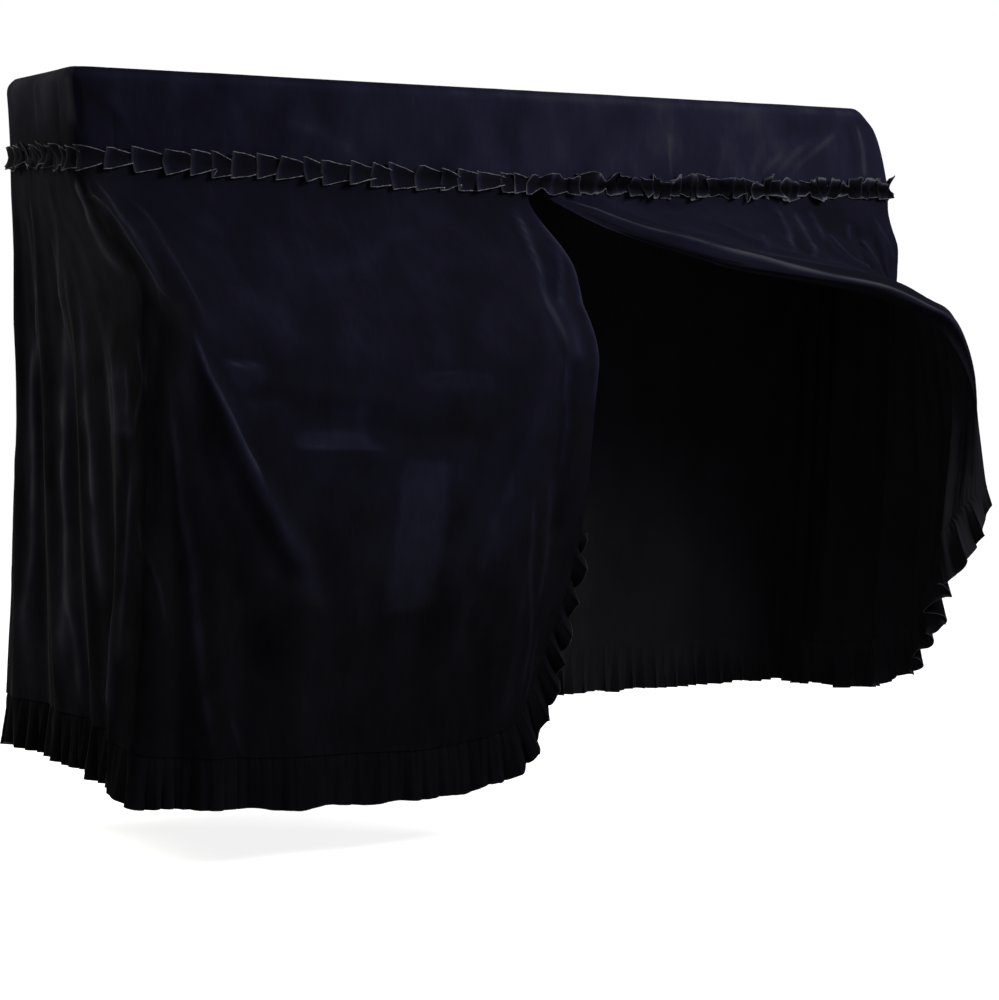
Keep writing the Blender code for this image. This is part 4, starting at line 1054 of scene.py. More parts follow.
rightCurtain = {
    "flat": (1.16, 0.98),
    "stations": (0.0, 0.03, 0.38, 0.72, 0.85, 1.0),
    "rows": (1, 6, 6, 3, 3),
    "finerAcross": 8,
    "finerDown": 9,
    "threads": (
        (0.0, 0.515, 3, 0.038,
         (0.335, -0.262, -0.284), (0.7, -0.388, -0.37), (0.798, -0.399, -0.5), (0.831, -0.402, -0.67)),
        (0.05, 0.532, 3, 0.042,
         (0.338, -0.292, -0.282), (0.722, -0.408, -0.358), (0.808, -0.398, -0.505), (0.814, -0.396, -0.69)),
        (0.11, 0.56, 4, 0.04,
         (0.352, -0.268, -0.256), (0.738, -0.392, -0.344), (0.808, -0.38, -0.51), (0.788, -0.381, -0.722)),
        (0.26, 0.67, 4, 0.025,
         (0.47, -0.232, -0.256), (0.76, -0.32, -0.35), (0.804, -0.328, -0.56), (0.777, -0.335, -0.796)),
        (0.42, 0.8, 4, 0.015,
         (0.61, -0.192, -0.256), (0.784, -0.248, -0.354), (0.816, -0.262, -0.62), (0.788, -0.286, -0.878)),
        (0.57, 0.92, 4, 0.005,
         (0.746, -0.166, -0.26), (0.812, -0.186, -0.366), (0.822, -0.2, -0.65), (0.794, -0.226, -0.937)),
        (0.68, 1.0, 4, 0,
         (0.836, -0.146, -0.262), (0.838, -0.138, -0.4), (0.824, -0.138, -0.66), (0.791, -0.148, -0.964)),
        (0.84, 1.52, 5, 0,
         (0.83, 0.012, -0.262), (0.826, 0.012, -0.42), (0.812, 0.012, -0.68), (0.79, 0.012, -0.982)),
        (1.0, 2.0, 0, 0,
         (0.82, 0.154, -0.262), (0.812, 0.154, -0.42), (0.8, 0.154, -0.68), (0.784, 0.154, -0.985)),
    ),
    "folds": (
        (0.3, 0.1, 0.25, 0.6, 0.018, 0.007),
        (0.44, 0.08, 0.36, 0.58, 0.016, -0.007),
        (0.51, 0.08, 0.44, 0.64, 0.016, 0.008),
        (0.59, 0.1, 0.54, 0.62, 0.014, -0.006),
        (0.64, 0.1, 0.62, 0.9, 0.016, 0.007),
        (0.2, 0.74, 0.18, 1.0, 0.02, -0.012),
        (0.33, 0.74, 0.31, 1.0, 0.02, 0.012),
        (0.46, 0.74, 0.45, 1.0, 0.022, -0.012),
        (0.76, 0.1, 0.75, 1.0, 0.02, 0.011),
        (0.84, 0.16, 0.84, 1.0, 0.02, -0.009),
        (0.92, 0.1, 0.92, 1.0, 0.02, 0.01),
    ),
    "creases": (
        (((0.094, 0.35), (0.09, 0.437), (0.072, 0.51), (0.06, 0.6), (0.056, 0.7),
          (0.05, 0.8)), 0.011, 0.013, 0.001, 0.22),
        (((0.01, 0.012), (0.045, 0.024), (0.088, 0.077), (0.094, 0.187), (0.097, 0.339), (0.092, 0.437),
          (0.074, 0.499), (0.062, 0.567), (0.058, 0.64), (0.054, 0.72),
          (0.048, 0.8)), 0.006, 0.01, 0.0035, 0.46),
        (((0.135, 0.06), (0.15, 0.16), (0.16, 0.3), (0.152, 0.4), (0.125, 0.47),
          (0.105, 0.56)), 0.01, 0.012, -0.003, -0.1),
        (((0.03, 0.06), (0.05, 0.16), (0.052, 0.3), (0.045, 0.42),
          (0.03, 0.52)), 0.012, 0.012, -0.003, -0.24),
        (((0.0, 0.02), (0.002, 0.11), (0.006, 0.228), (0.012, 0.33), (0.01, 0.43),
          (0.006, 0.48)), 0.005, 0.006, 0.001, 0.28),
        (((0.446, 0.024), (0.443, 0.082), (0.435, 0.17), (0.416, 0.263),
          (0.356, 0.39)), 0.006, 0.008, 0.0025, 0.24),
        (((0.427, 0.211), (0.39, 0.32), (0.34, 0.4), (0.27, 0.455)), 0.009, 0.01, 0.002, 0.14),
        (((0.472, 0.048), (0.469, 0.135), (0.446, 0.287), (0.42, 0.386),
          (0.35, 0.46)), 0.007, 0.009, 0.003, 0.27),
        (((0.502, 0.042), (0.502, 0.106), (0.484, 0.24), (0.465, 0.351)), 0.007, 0.007, 0.0025, 0.18),
        (((0.51, 0.22), (0.508, 0.34), (0.517, 0.414), (0.532, 0.471),
          (0.573, 0.52)), 0.005, 0.006, 0.003, 0.22),
        (((0.57, 0.14), (0.551, 0.29)), 0.006, 0.006, 0.0025, 0.2),
        (((0.584, 0.26), (0.589, 0.357), (0.6, 0.431), (0.597, 0.51)), 0.006, 0.006, 0.003, 0.22),
        (((0.352, 0.25), (0.3, 0.35), (0.23, 0.42)), 0.008, 0.008, 0.002, 0.12),
        (((0.64, 0.06), (0.65, 0.22), (0.66, 0.4), (0.66, 0.6)), 0.006, 0.008, 0.003, 0.14),
        (((0.187, 0.845), (0.179, 0.875)), 0.006, 0.006, 0.0025, 0.18),
        (((0.19, 0.893), (0.148, 0.9)), 0.006, 0.006, 0.002, 0.18),
        (((0.16, 0.93), (0.11, 0.945), (0.063, 0.958)), 0.006, 0.006, 0.0025, 0.18),
        (((0.03, 0.62), (0.045, 0.75), (0.04, 0.9)), 0.009, 0.01, 0.003, 0.06),
        (((0.1, 0.6), (0.13, 0.78), (0.12, 1.0)), 0.01, 0.012, 0.0035, 0.1),
        (((0.25, 0.62), (0.27, 0.8), (0.26, 1.0)), 0.01, 0.012, -0.0035, 0.06),
        (((0.639, 0.79), (0.632, 0.86)), 0.005, 0.005, -0.0025, 0.1),
        (((0.602, 0.917), (0.634, 0.95), (0.767, 0.983)), 0.008, 0.009, -0.0035, 0.1),
        (((0.7, 0.55), (0.69, 0.8), (0.66, 1.0)), 0.012, 0.014, 0.0035, 0.14),
        (((0.56, 0.56), (0.55, 0.75), (0.53, 1.0)), 0.012, 0.014, 0.0035, 0.12),
        (((0.8, 0.06), (0.795, 0.4), (0.8, 0.75), (0.79, 1.0)), 0.012, 0.014, 0.0035, 0.18),
        (((0.88, 0.08), (0.885, 0.4), (0.875, 0.75), (0.88, 1.0)), 0.012, 0.014, 0.003, 0.16),
        (((0.96, 0.06), (0.955, 0.4), (0.96, 0.75), (0.955, 1.0)), 0.012, 0.014, 0.003, 0.14),
    ),
    "patches": (
        (((0.18, 0.06), (0.3, 0.06), (0.26, 0.26), (0.14, 0.3)), 0.04, 0.02),
    ),
    # painted light and shade in the tone: the roll lighter, darker low down
    "napAndLightAcross": (0.0, 0.08, 0.14, 0.40, 0.60, 0.70, 1.0),
    "napAndLightDown": (0.0, 0.30, 0.50, 0.75, 1.0),
    "napAndPaintedLight": (
        (0.34, 0.40, 0.44, 0.43, 0.40, 0.38, 0.36),
        (0.28, 0.40, 0.44, 0.41, 0.37, 0.35, 0.34),
        (0.25, 0.38, 0.44, 0.38, 0.34, 0.32, 0.33),
        (0.22, 0.24, 0.26, 0.28, 0.30, 0.30, 0.32),
        (0.22, 0.22, 0.24, 0.26, 0.28, 0.28, 0.28),
    ),
    "calmAt": ((0.0, 1.0), (0.8, 1.0)),
    "paintedGreyAt": ((0.0, 1.0), (0.05, 0.15)),
    "slitEase": 0.0,
    # the roll's outer corner sinks onto the cheek: where (x, z), how wide, how far, and the fade in y
    "corner": (0.73, -0.315),
    "cornerReach": (0.075, 0.055),
    "sink": (-0.006, 0.0, -0.020),
    "sinkAt": ((-0.30, -0.22), (1.0, 0.0)),
    "seed": 41,
}
backPanel = {
    "flat": (1.50, 0.90),
    "columns": 180,
    "bow": 0.004,
    "overlap": 0.0001,
    # painted shade: the tone is darker towards the bottom
    "paintedShadeAlong": ((0, 0.4, 1), (0.38, 0.36, 0.28)),
    "napChange": 0.05,
    "napSize": (0.12, 0.20),
    # painted shade greys the inside more towards the left curtain
    "paintedGreyAt": ((0, 0.4, 1), (0.15, 0.25, 0.75)),
    "calmEdge": 0.083,
    "foldsIn": ((0.07, 0.23), (0.0, 1.0)),
    "seed": 61,
    "folds": (
        (0.1, 0.06, 0.11, 1.0, 0.04, 0.01),
        (0.27, 0.06, 0.25, 1.0, 0.045, 0.012),
        (0.46, 0.06, 0.47, 1.0, 0.04, 0.009),
        (0.66, 0.06, 0.64, 1.0, 0.045, 0.012),
        (0.88, 0.06, 0.89, 1.0, 0.04, 0.01),
    ),
    "creases": (
        (((0.18, 0.05), (0.19, 0.5), (0.17, 1.0)), 0.014, 0.016, 0.003, 0.12),
        (((0.36, 0.08), (0.35, 0.5), (0.37, 1.0)), 0.012, 0.014, -0.0028, -0.08),
        (((0.56, 0.05), (0.57, 0.6), (0.55, 1.0)), 0.014, 0.016, 0.003, 0.12),
        (((0.76, 0.05), (0.77, 0.5), (0.78, 1.0)), 0.013, 0.015, -0.0028, -0.08),
        (((0.05, 0.1), (0.09, 0.35)), 0.012, 0.012, 0.0022, 0.1),
        (((0.95, 0.1), (0.92, 0.4)), 0.012, 0.012, 0.0022, 0.1),
        (((0.1, 0.06), (0.11, 0.55), (0.105, 1.0)), 0.01, 0.012, 0.0015, 0.14),
        (((0.27, 0.06), (0.26, 0.55), (0.25, 1.0)), 0.01, 0.012, 0.0015, 0.14),
        (((0.46, 0.06), (0.465, 0.55), (0.47, 1.0)), 0.01, 0.012, 0.0015, 0.14),
        (((0.66, 0.06), (0.65, 0.55), (0.64, 1.0)), 0.01, 0.012, 0.0015, 0.14),
        (((0.88, 0.06), (0.885, 0.55), (0.89, 1.0)), 0.01, 0.012, 0.0015, 0.14),
    ),
}


def hangThreads(curtain):
    threads = curtain["threads"]
    at = [thread[0] for thread in threads]
    columns = stopsBetween(at, [thread[2] * curtain["finerAcross"] for thread in threads[:-1]])
    down = stopsBetween(curtain["stations"], [steps * curtain["finerDown"] for steps in curtain["rows"]])
    sides = smoothBetween(at, [thread[1] for thread in threads], columns)
    hung = np.array([ringPoint(side) for side in sides]) - (0, 0, cap["seamGap"] / 2)
    own = np.array([ringPoint(thread[1]) for thread in threads])
    underBand = np.array([(thread[3], 0.0, skirt["underBand"]) for thread in threads])
    offsets = [np.zeros((len(threads), 3)), underBand]
    for station in range(4, 8):
        offsets.append(np.array([thread[station] for thread in threads]) - own)
    spread = smoothBetween(at, np.stack(offsets, axis=1), columns)
    points = hung[None] + smoothBetween(curtain["stations"], spread.transpose(1, 0, 2), down)
    return points, columns, down


def napAt(curtain, across, down):
    # the tone's table of painted light and shade: rows down the cloth, columns across it
    table = np.array(curtain["napAndPaintedLight"])
    byRow = np.array([np.interp(across, curtain["napAndLightAcross"], row) for row in table])
    place = np.interp(down, curtain["napAndLightDown"], np.arange(len(table)))
    low = np.clip(np.floor(place).astype(int), 0, len(table) - 2)
    share = place - low
    rows, columns = np.indices(across.shape)
    return byRow[low, rows, columns] * (1 - share) + byRow[low + 1, rows, columns] * share


def onCloth(flat):
    # turns shares of a cloth's width and length into metres
    return lambda way, fallen: (way * flat[0], fallen * flat[1])


def fadeIn(values, reach):
    return np.clip(values / reach, 0.0, 1.0)


def drapeCurtain(curtain):
    points, columns, down = hangThreads(curtain)
    seed = curtain["seed"]
    across, along = np.meshgrid(columns, down)
    width, length = curtain["flat"]
    x, y = across * width, along * length
    below = along - curtain["stations"][1]
    # the slit's edge stands a little further open just under the band
    opening = fadeIn(across - (1 - skirt["slit"]), skirt["slit"])
    opening = opening * np.sin(np.pi * fadeIn(below, skirt["slitIn"]))
    points = points + (curtain["slitEase"] * opening)[..., None] * np.array((1.0, 0.0, 0.0))
    settled = fadeIn(below, skirt["foldsIn"])
    edge = fadeIn(np.minimum(across, 1 - across), skirt["calmEdge"])
    lift = foldHeights(curtain["folds"], across, along, curtain["flat"]) * settled * edge
    points = points + gridNormals(points) * lift[..., None]
    placeOf = onCloth(curtain["flat"])
    pressed, paintedShine = pressCreases(curtain["creases"], x, y, placeOf, seed)
    uneven = unevenness(x, y, skirt["uneven"], seed + 5) * np.interp(across, *curtain["calmAt"])
    fine = pressed * fadeIn(below, skirt["creasesIn"]) + uneven * settled
    waves = x / skirt["puckerPitch"] + 0.5 * softNoise(x / 0.05, y / 0.05, seed + 7)
    nearHem = np.exp((along - 1) * length / skirt["puckerReach"])
    fine += skirt["puckerHeight"] * np.sin(2 * math.pi * waves) * nearHem
    # the tone: painted light and shade from the table, painted highlights along the creases, and the patches
    napAndPaintedLight = napAt(curtain, across, along) + paintedShine + pileAndPaintedPatches(curtain["patches"], x, y, placeOf)
    wide, long = skirt["napSize"]
    napAndPaintedLight += skirt["napChange"] * softNoise(x / wide, y / long, seed + 9)
    # painted shade greys the side and the lower cloth
    paintedGreyness = np.maximum(np.interp(across, *curtain["paintedGreyAt"]), np.interp(along, *skirt["paintedGreyDown"]))
    return points + gridNormals(points) * fine[..., None], napAndPaintedLight, paintedGreyness


def sinkCorner(points, curtain):
    away = (points[..., (0, 2)] - curtain["corner"]) / curtain["cornerReach"]
    sunk = np.exp(-(away**2).sum(axis=-1)) * np.interp(points[..., 1], *curtain["sinkAt"])
    return points + sunk[..., None] * curtain["sink"]


def drapeBack(left, right):
    seed = backPanel["seed"]
    outward = np.array((0, 1, 0))
    columns = np.linspace(0, 1, backPanel["columns"] + 1)
    rows = len(left)
    rightEdge = readOff(np.linspace(0, len(right) - 1, rows), np.arange(len(right)), right[:, -1])
    # its edges meet the two curtains' inner faces
    half = skirt["cloth"] / 2
    start = rightEdge + (backPanel["overlap"] - half, -half, 0)
    end = left[:, 0] + (half - backPanel["overlap"], -half, 0)
    share = columns[None, :, None]
    points = start[:, None] * (1 - share) + end[:, None] * share
    ring = np.array([ringPoint(2 + place) for place in columns])
    points = points + np.interp(columns, (0, 0.5, 1), (0, backPanel["bow"], 0))[None, :, None] * outward
    points[0, 1:-1, 2] = ring[1:-1, 2] - cap["seamGap"] / 2
    across, along = np.meshgrid(columns, np.linspace(0, 1, rows))
    x, y = across * backPanel["flat"][0], along * backPanel["flat"][1]
    pressed, paintedShine = pressCreases(backPanel["creases"], x, y, onCloth(backPanel["flat"]), seed)
    lift = foldHeights(backPanel["folds"], across, along, backPanel["flat"]) + pressed
    lift += unevenness(x, y, skirt["uneven"], seed + 5)
    edge = fadeIn(np.minimum(across, 1 - across), backPanel["calmEdge"])
    settled = np.interp(along, *backPanel["foldsIn"])
    napAndPaintedLight = np.interp(along, *backPanel["paintedShadeAlong"]) + paintedShine
    wide, long = backPanel["napSize"]
    napAndPaintedLight += backPanel["napChange"] * softNoise(x / wide, y / long, seed + 7)
    paintedGreyness = np.interp(across, *backPanel["paintedGreyAt"])
    return points + (lift * edge * settled)[..., None] * outward, napAndPaintedLight, paintedGreyness


left, leftNapAndLight, leftPaintedGrey = drapeCurtain(leftCurtain)
right, rightNapAndLight, rightPaintedGrey = drapeCurtain(rightCurtain)
right = sinkCorner(right, rightCurtain)
back, backNapAndLight, backPaintedGrey = drapeBack(left, right)
for name, node, points, napAndPaintedLight, paintedGreyness, look in (
    ("leftCurtain", "curtain_left", left, leftNapAndLight, leftPaintedGrey, leftCurtain),
    ("rightCurtain", "curtain_right", right, rightNapAndLight, rightPaintedGrey, rightCurtain),
    ("backPanel", "panel_back", back, backNapAndLight, backPaintedGrey, backPanel),
):
    thing = sheetObject(name, points, clothPlaces(points), napAndPaintedLight, skirt["cloth"], [velvet, backing], paintedGreyness=paintedGreyness)
    finishPiece(thing, [node])
    width = look["flat"][0]
    areaOf(points) / width
    print(name, "hung,", round(areaOf(points), 3), "square metres")

# pleated band
band = {
    "height": 0.040,
    "standOut": 0.0135,
    "stitchStandOut": 0.0046,
    "tuckedStandOut": 0.0040,
    "stitchTucked": 0.0026,
    "standLimits": (0.0018, 0.0165),
    "cloth": 0.0009,
    "threadRadius": 0.0008,
    # how far crumples push the cloth out, how ragged its free edges are, and the pitch of both along the band
    "crumple": 0.0034,
    "crumplePitch": 0.008,
    "ragged": 0.0032,
    "raggedPitch": 0.010,
    "samples": 2401,
    "turnReach": 0.012,
    "levels": (1.0, 0.88, 0.72, 0.54, 0.32, 0.0, -0.32, -0.54, -0.72, -0.88, -1.0),
    # from the front left corner round: metres along, pleat, how uneven, how far the free edges close,
    # share of pleats turned the other way, painted highlight on the free edges
    "stretches": (
        (0.00, 0.045, 0.46, 0.62, 0.00, 0.05),
        (0.42, 0.043, 0.55, 0.58, 0.00, 0.06),
        (0.62, 0.038, 0.65, 0.52, 0.02, 0.12),
        (0.80, 0.030, 0.75, 0.42, 0.25, 0.25),
        (0.95, 0.020, 1.00, 0.36, 0.35, 1.30),
        (1.60, 0.018, 1.00, 0.36, 0.35, 1.40),
        (1.90, 0.030, 0.50, 0.35, 0.15, 0.20),
        (3.40, 0.030, 0.45, 0.35, 0.15, 0.15),
        (3.50, 0.019, 0.80, 0.40, 0.25, 0.12),
        (3.84, 0.019, 0.80, 0.45, 0.20, 0.12),
    ),
    # each pleat's points: share of its panel, share of its stand-out, and tone: painted highlight at the
    # nose, painted shade into the tuck
    "panel": (
        (-0.030, 0.80, 0.40),
        (-0.045, 0.93, 0.58),
        (-0.020, 1.00, 0.66),
        (0.040, 1.00, 0.54),
        (0.160, 0.95, 0.36),
        (0.340, 0.86, 0.30),
        (0.560, 0.66, 0.28),
        (0.780, 0.38, 0.25),
        (0.930, 0.12, 0.18),
        (1.000, 0.00, 0.10),
    ),
    "nosePoints": 3,
    "tuck": 0.20,
    # chance limits: change of a pleat's width, tuck, flare, height, closing, slant and painted highlight
    "widthChange": 0.55,
    "tuckRange": (0.5, 1.3),
    "flareRange": (-1.0, 0.30),
    "tallRange": (-0.38, 0.22),
    "closeRange": (-0.9, 0.8),
    "closeLimits": (0.05, 0.80),
    "slantRange": (-0.45, 0.45),
    "glowRange": (-0.3, 1.0),
    # painted highlights on the noses and towards the free edges, painted shade along the stitching
    "noseGlow": 0.32,
    "stitchShade": 0.30,
    "edgeShine": 0.06,
    # painted shade greys the band's left end
    "paintedGreyAt": ((-0.755, -0.735), (0.75, 0.10)),
    "seed": 71,
}


def stretchAt(place, column):
    stretches = np.array(band["stretches"])
    return np.interp(place, stretches[:, 0], stretches[:, column])


def pleatPlaces(total, chance):
    begins, place = [], 0.0
    while place < total:
        begins.append(place)
        change = band["widthChange"] * stretchAt(place, 2) * chance.uniform(-1, 1)
        place += stretchAt(place, 1) * (1 + change)
    begins = np.array(begins) * total / place
    return begins, np.append(begins[1:], total) - begins


def foldPleats(begins, widths, chance):
    # every point of every pleat: metres along, share of its panel, share of its stand-out, tone with painted
    # highlight and shade, its pleat
    count = len(begins)
    turns = chance.uniform(0, 1, count) < stretchAt(begins, 4)
    tuck = band["tuck"] * widths * chance.uniform(*band["tuckRange"], count)
    panel = np.array(band["panel"])
    points = []
    for index in range(count):
        turned = turns[index]
        before, after = turns[index - 1], turns[(index + 1) % count]
        # the rounded nose stands over a tucked neighbour only
        folds = panel if (after if turned else before) == turned else panel[band["nosePoints"]:]
        extra = tuck[index] if (before if turned else after) == turned else -0.001
        place = folds[:, 0] * (widths[index] + extra)
        if turned:
            folds, place = folds[::-1], widths[index] - place[::-1]
        share = np.clip(folds[:, 0], 0, 1)
        points.append((begins[index] + place, share, folds[:, 1], folds[:, 2], np.full(len(folds), index)))
    return (np.concatenate(values) for values in zip(*points))


def foldBand():
    chance = np.random.default_rng(band["seed"])
    line = np.array([ringPoint(side) for side in np.linspace(0, 4, band["samples"])])
    lengths = lengthsAlong(line)
    total = lengths[-1]
    begins, widths = pleatPlaces(total, chance)
    uneven, closing, edgeGlow = (stretchAt(begins, column) for column in (2, 3, 5))
    at, share, rise, napAndPaintedLight, number = foldPleats(begins, widths, chance)

    def onLine(places):
        return readOff(places % total, lengths, line)

    reach = band["turnReach"]
    outward = unit(np.cross(onLine(at + reach) - onLine(at - reach), (0, 0, 1)))
    # one draw for the upper and one for the lower half of each pleat
    halves = (2, len(begins))
    flare = 1 + uneven * chance.uniform(*band["flareRange"], halves)
    tall = 1 + uneven * chance.uniform(*band["tallRange"], halves)
    closes = closing * (1 + uneven * chance.uniform(*band["closeRange"], halves))
    closes = np.clip(closes, *band["closeLimits"])
    slant = uneven * chance.uniform(*band["slantRange"], halves)
    glow = edgeGlow * chance.uniform(*band["glowRange"], halves)
    nose = band["noseGlow"] * chance.uniform(0, 1, len(begins)) ** 2
    stitch, stitchTucked = band["stitchStandOut"], band["stitchTucked"]
    rows, napsAndLight = [], []
    for level in band["levels"]:
        side = 0 if level >= 0 else 1
        spread = abs(level) ** 1.2
        out = stitch + (band["standOut"] * flare[side] - stitch)[number] * spread
        tucked = stitchTucked + (band["tuckedStandOut"] - stitchTucked) * spread
        crushed = softNoise(at / band["crumplePitch"], at * 0 + level * 1.9 + 7, band["seed"] + 1)
        crushed *= uneven[number] * band["crumple"] * (0.3 + 0.7 * spread)
        stand = np.clip(tucked + (out - tucked) * rise + crushed, *band["standLimits"])
        high = band["height"] / 2 * level * tall[side][number] * (1 - closes[side][number] * share**1.1)
        frayed = softNoise(at / band["raggedPitch"], at * 0 + side * 5.3, band["seed"] + 2)
        high += band["ragged"] * frayed * uneven[number] ** 2 * spread
        slide = slant[side][number] * band["height"] / 2 * abs(level) * (1 - share)
        rows.append(onLine(at + slide) + outward * stand[:, None] + np.array((0, 0, 1)) * high[:, None])
        # painted shade along the stitching, painted highlights on the free edges and the noses
        shade = band["stitchShade"] * edgeGlow[number] * (1 - abs(level))
        lit = glow[side][number] * abs(level) ** 4 - shade
        napsAndLight.append(napAndPaintedLight + lit + band["edgeShine"] * abs(level) + nose[number] * (share == 0))
    return np.array(rows), np.array(napsAndLight)


bandPoints, bandNapAndLight = foldBand()
bandPaintedGrey = np.interp(bandPoints[..., 0], *band["paintedGreyAt"])
bandPlaces = clothPlaces(joinRound(bandPoints))
bandCloth = sheetObject("pleatedBand", bandPoints, bandPlaces, bandNapAndLight, band["cloth"], [trimVelvet],
                        closed=True, paintedGreyness=bandPaintedGrey)
bandThreads = [
    edgeThreadOf(name, row, band["threadRadius"], edgeThread, closed=True)
    for name, row in (("bandThreadUpper", bandPoints[0]), ("bandThreadLower", bandPoints[-1]))
]
finishPiece(bandCloth, ["pleated_trim"])
for thread in bandThreads:
    finishPiece(thread, [])
bandLength = areaOf(bandPoints, closed=True) / band["height"]
print("band pleated,", round(bandLength, 2), "metres of strip")

# frills
frill = {
    "depth": 0.078,
    "cloth": 0.0009,
    "fall": 1.2,
    "tuckedUp": 0.007,
    "behind": 0.0017,
    "pinch": 0.0006,
    "pinchPitch": 0.0095,
    "lean": 0.003,
    "threadRadius": 0.0007,
    "step": 0.0021,
    "rows": (0.0, 0.05, 0.10, 0.17, 0.26, 0.37, 0.49, 0.62, 0.75, 0.88, 1.0),
    "calmEnds": 0.02,
    "meeting": 0.018,
    # how much each changes along the hem, and the pitch of the change; the waves change slowly and quickly
    "waveChange": ((0.40, 0.07), (0.20, 0.025)),
    "pinchChange": (0.3, 0.02),
    "tallChange": (0.55, 0.05),
    "depthChange": (0.05, 0.04),
    # how many steps its directions are smoothed over
    "smoothing": 25,
    "headingSmoothing": 9,
    # tone: painted highlights on the wave crests, painted shade in the troughs
    "napAndPaintedLight": 0.17,
    "crestShine": 12,
}
# waves: share of the hem's length, how far they stand out, their pitch
# greying by painted shade: shares of the hem's length, how much there
leftFrill = {
    "waves": ((0.0, 0.010, 0.048), (0.15, 0.013, 0.050), (0.21, 0.008, 0.042), (0.26, 0.0026, 0.036),
              (0.56, 0.0024, 0.034), (0.62, 0.007, 0.036), (0.80, 0.008, 0.032), (1.0, 0.009, 0.030)),
    "paintedGreyness": ((0.0, 0.58, 0.66, 1.0), (0.45, 0.50, 0.80, 0.80)),
    "slitDepths": (0.014, 0.0624),
    "slitSteps": 5,
    "seed": 81,
}
rightFrill = {
    "waves": ((0.0, 0.015, 0.060), (0.25, 0.015, 0.055), (0.45, 0.012, 0.042), (1.0, 0.009, 0.030)),
    "paintedGreyness": ((0.0, 1.0), (0.40, 0.50)),
    "tipDepth": 0.036,
    "tipSteps": 8,
    "seed": 91,
}
backFrill = {
    "waves": ((0.0, 0.009, 0.027), (1.0, 0.009, 0.027)),
    "paintedGreyness": ((0.0, 1.0), (0.45, 0.80)),
    "seed": 97,
}


def smoothed(values, reach):
    kernel = np.hanning(reach + 2)[1:-1]
    kernel = kernel / kernel.sum()
    padded = np.pad(values, ((reach // 2, reach // 2), (0, 0)), mode="edge")
    return np.array([np.convolve(column, kernel, mode="valid") for column in padded.T]).T


def meetAtEnds(points, neighbours):
    # the frill's last few centimetres turn in to meet the ends of the frills beside it
    along = lengthsAlong(points[0])
    ends = [(mine, theirs) for mine in (0, -1) for theirs in (0, -1)]
    for other in neighbours:
        mine, theirs = min(ends, key=lambda pair: math.dist(points[0, pair[0]], other[0, pair[1]]))
        near = np.exp(-((abs(along - along[mine]) / frill["meeting"]) ** 2))
        points = points + (other[:, theirs] - points[:, mine])[:, None] * near[None, :, None]
    return points


def frillFrame(edge, normals, inward, at, lengths):
    # along the edge: its points, the way the cloth faces, the way the frill falls and the way it runs
    outward = np.cross(unit(np.gradient(edge, axis=0)), normals)
    outward = outward * np.sign((outward * -inward).sum(axis=-1, keepdims=True))
    base = readOff(at, lengths, edge)
    facing = unit(smoothed(readOff(at, lengths, normals), frill["smoothing"]))
    leaving = unit(smoothed(readOff(at, lengths, outward), frill["smoothing"]))
    heading = unit(smoothed(unit(np.gradient(base, axis=0)), frill["headingSmoothing"]))
    return base, facing, leaving, heading


def gatherRows(look, edge, normals, inward, depths):
    seed = look["seed"]
    lengths = lengthsAlong(edge)
    total = lengths[-1]
    at = np.linspace(0, total, int(total / frill["step"]))
    base, facing, leaving, heading = frillFrame(edge, normals, inward, at, lengths)
    falling = unit(leaving + (0, 0, -frill["fall"]))
    depth = np.interp(at, lengths, depths)
    size, pitch = readOff(at / total, np.array(look["waves"])[:, 0], np.array(look["waves"])[:, 1:]).T

    def changeOf(change, row, chanceSeed):
        strength, reach = change
        return strength * softNoise(at / reach, np.full(len(at), row), chanceSeed)

    slow, quick = frill["waveChange"]
    rate = 1 + changeOf(slow, 0.0, seed) + changeOf(quick, 0.0, seed + 1)
    phase = np.cumsum(rate / pitch) * (at[1] - at[0]) * 2 * math.pi
    gathers = np.cumsum(1 + changeOf(frill["pinchChange"], 0.0, seed + 6))
    pinches = gathers * (at[1] - at[0]) / frill["pinchPitch"] * 2 * math.pi
    ends = np.clip(np.minimum(at, total - at) / frill["calmEnds"], 0.0, 1.0)
    tall = 1 + changeOf(frill["tallChange"], 3.0, seed + 2)
    longer = 1 + changeOf(frill["depthChange"], 5.0, seed + 3)
    rows, napsAndLight = [], []
    for share in frill["rows"]:
        shape = np.sin(phase + 0.5 * share * np.sin(phase * 0.5 + seed)) + 0.22 * np.sin(2 * phase + 1.0)
        wave = size * tall * ends * share**1.15 * shape
        pinched = frill["pinch"] * ends * np.sin(pinches) * (0.35 + 0.65 * np.exp(-share * 5))
        slide = size * 0.35 * share * np.sin(2 * phase) * ends
        reach = depth * share * longer - frill["tuckedUp"] * (1 - share)
        # the tucked-up edge lies behind the cloth it is sewn to
        behind = -frill["behind"] * np.exp(-((reach / 0.006) ** 2)) if share < 0.2 else 0.0
        out = wave + pinched + behind + frill["lean"] * share * ends
        row = base + leaving * np.minimum(reach, 0)[:, None] + falling * np.maximum(reach, 0)[:, None]
        rows.append(row + facing * out[:, None] + heading * slide[:, None])
        # painted highlights on the crests, painted shade in the troughs, at the pinches and towards the seam
        crest = frill["crestShine"] * size * share * shape + 0.05 * np.sin(pinches) * np.exp(-share * 5)
        napsAndLight.append(frill["napAndPaintedLight"] + crest - 0.01 * (1 - share))
    points, napAndPaintedLight = np.array(rows), np.array(napsAndLight)
    paintedGreyness = np.interp(at / total, *look["paintedGreyness"]) + np.zeros(napAndPaintedLight.shape)
    return points, napAndPaintedLight, paintedGreyness, facing


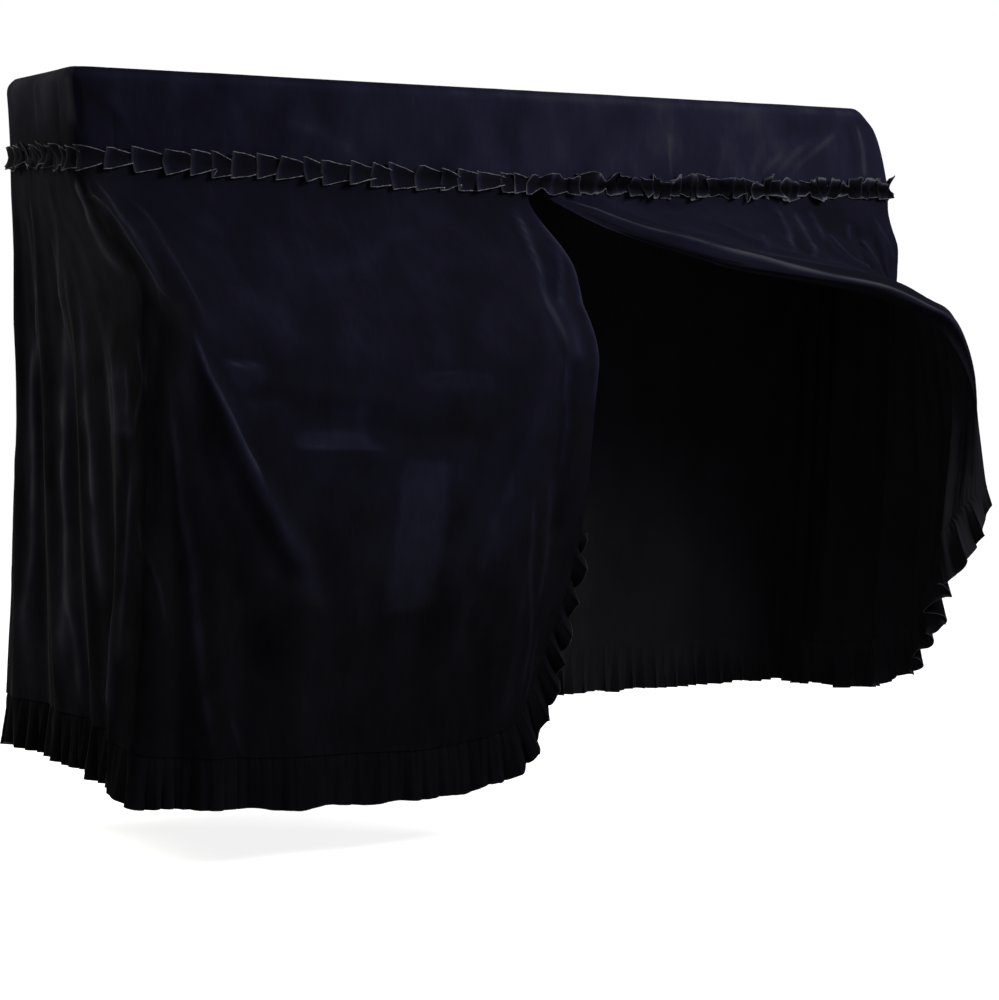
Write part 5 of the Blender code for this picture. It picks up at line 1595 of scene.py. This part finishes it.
def gatherFrill(name, node, look, line, depths, neighbours=()):
    points, napAndPaintedLight, paintedGreyness, facing = gatherRows(look, *line, depths)
    points = meetAtEnds(points, neighbours)
    if (gridNormals(points)[4] * facing).sum() < 0:
        points, napAndPaintedLight, paintedGreyness = points[:, ::-1], napAndPaintedLight[:, ::-1], paintedGreyness[:, ::-1]
    places = clothPlaces(points)
    cloth = sheetObject(name, points, places, napAndPaintedLight, frill["cloth"], [trimVelvet, backing], paintedGreyness=paintedGreyness)
    thread = edgeThreadOf(name + "Thread", points[-1], frill["threadRadius"], darkThread)
    finishPiece(cloth, [node])
    finishPiece(thread, [])
    cut = frill["depth"] + frill["tuckedUp"]
    areaOf(points) / cut
    print(name, "gathered,", round(areaOf(points) / cut, 2), "metres of strip")
    return points


def hemLine(points):
    # the hem's points, the way it faces, and the way into the cloth
    return points[-1], gridNormals(points)[-1], points[-2] - points[-1]


def slitAndHemLine(points, slitRows):
    # down the slit's edge, round the corner and along the hem
    normals = gridNormals(points)
    slit = slice(-slitRows - 1, -1)
    edge = np.concatenate([points[slit, -1], points[-1, ::-1]])
    facing = np.concatenate([normals[slit, -1], normals[-1, ::-1]])
    inward = np.concatenate([points[slit, -2], points[-2, ::-1]]) - edge
    return edge, facing, inward


def depthsAlong(count, start, end, steps):
    # the frill's depth along its edge, growing over the first steps
    depths = np.full(count, frill["depth"])
    depths[:steps] = np.linspace(start, end, steps)
    return depths


slitRows = leftFrill["slitSteps"] * leftCurtain["finerDown"]
depths = depthsAlong(left.shape[1] + slitRows, *leftFrill["slitDepths"], slitRows + 1)
leftGathers = gatherFrill("leftFrill", "frill_left", leftFrill, slitAndHemLine(left, slitRows), depths)
tipColumns = rightFrill["tipSteps"] * rightCurtain["finerAcross"]
depths = depthsAlong(right.shape[1], rightFrill["tipDepth"], frill["depth"], tipColumns)
rightGathers = gatherFrill("rightFrill", "frill_right", rightFrill, hemLine(right), depths)
depths = np.full(back.shape[1], frill["depth"])
gatherFrill("backFrill", "frill_back", backFrill, hemLine(back), depths,
            (leftGathers, rightGathers))
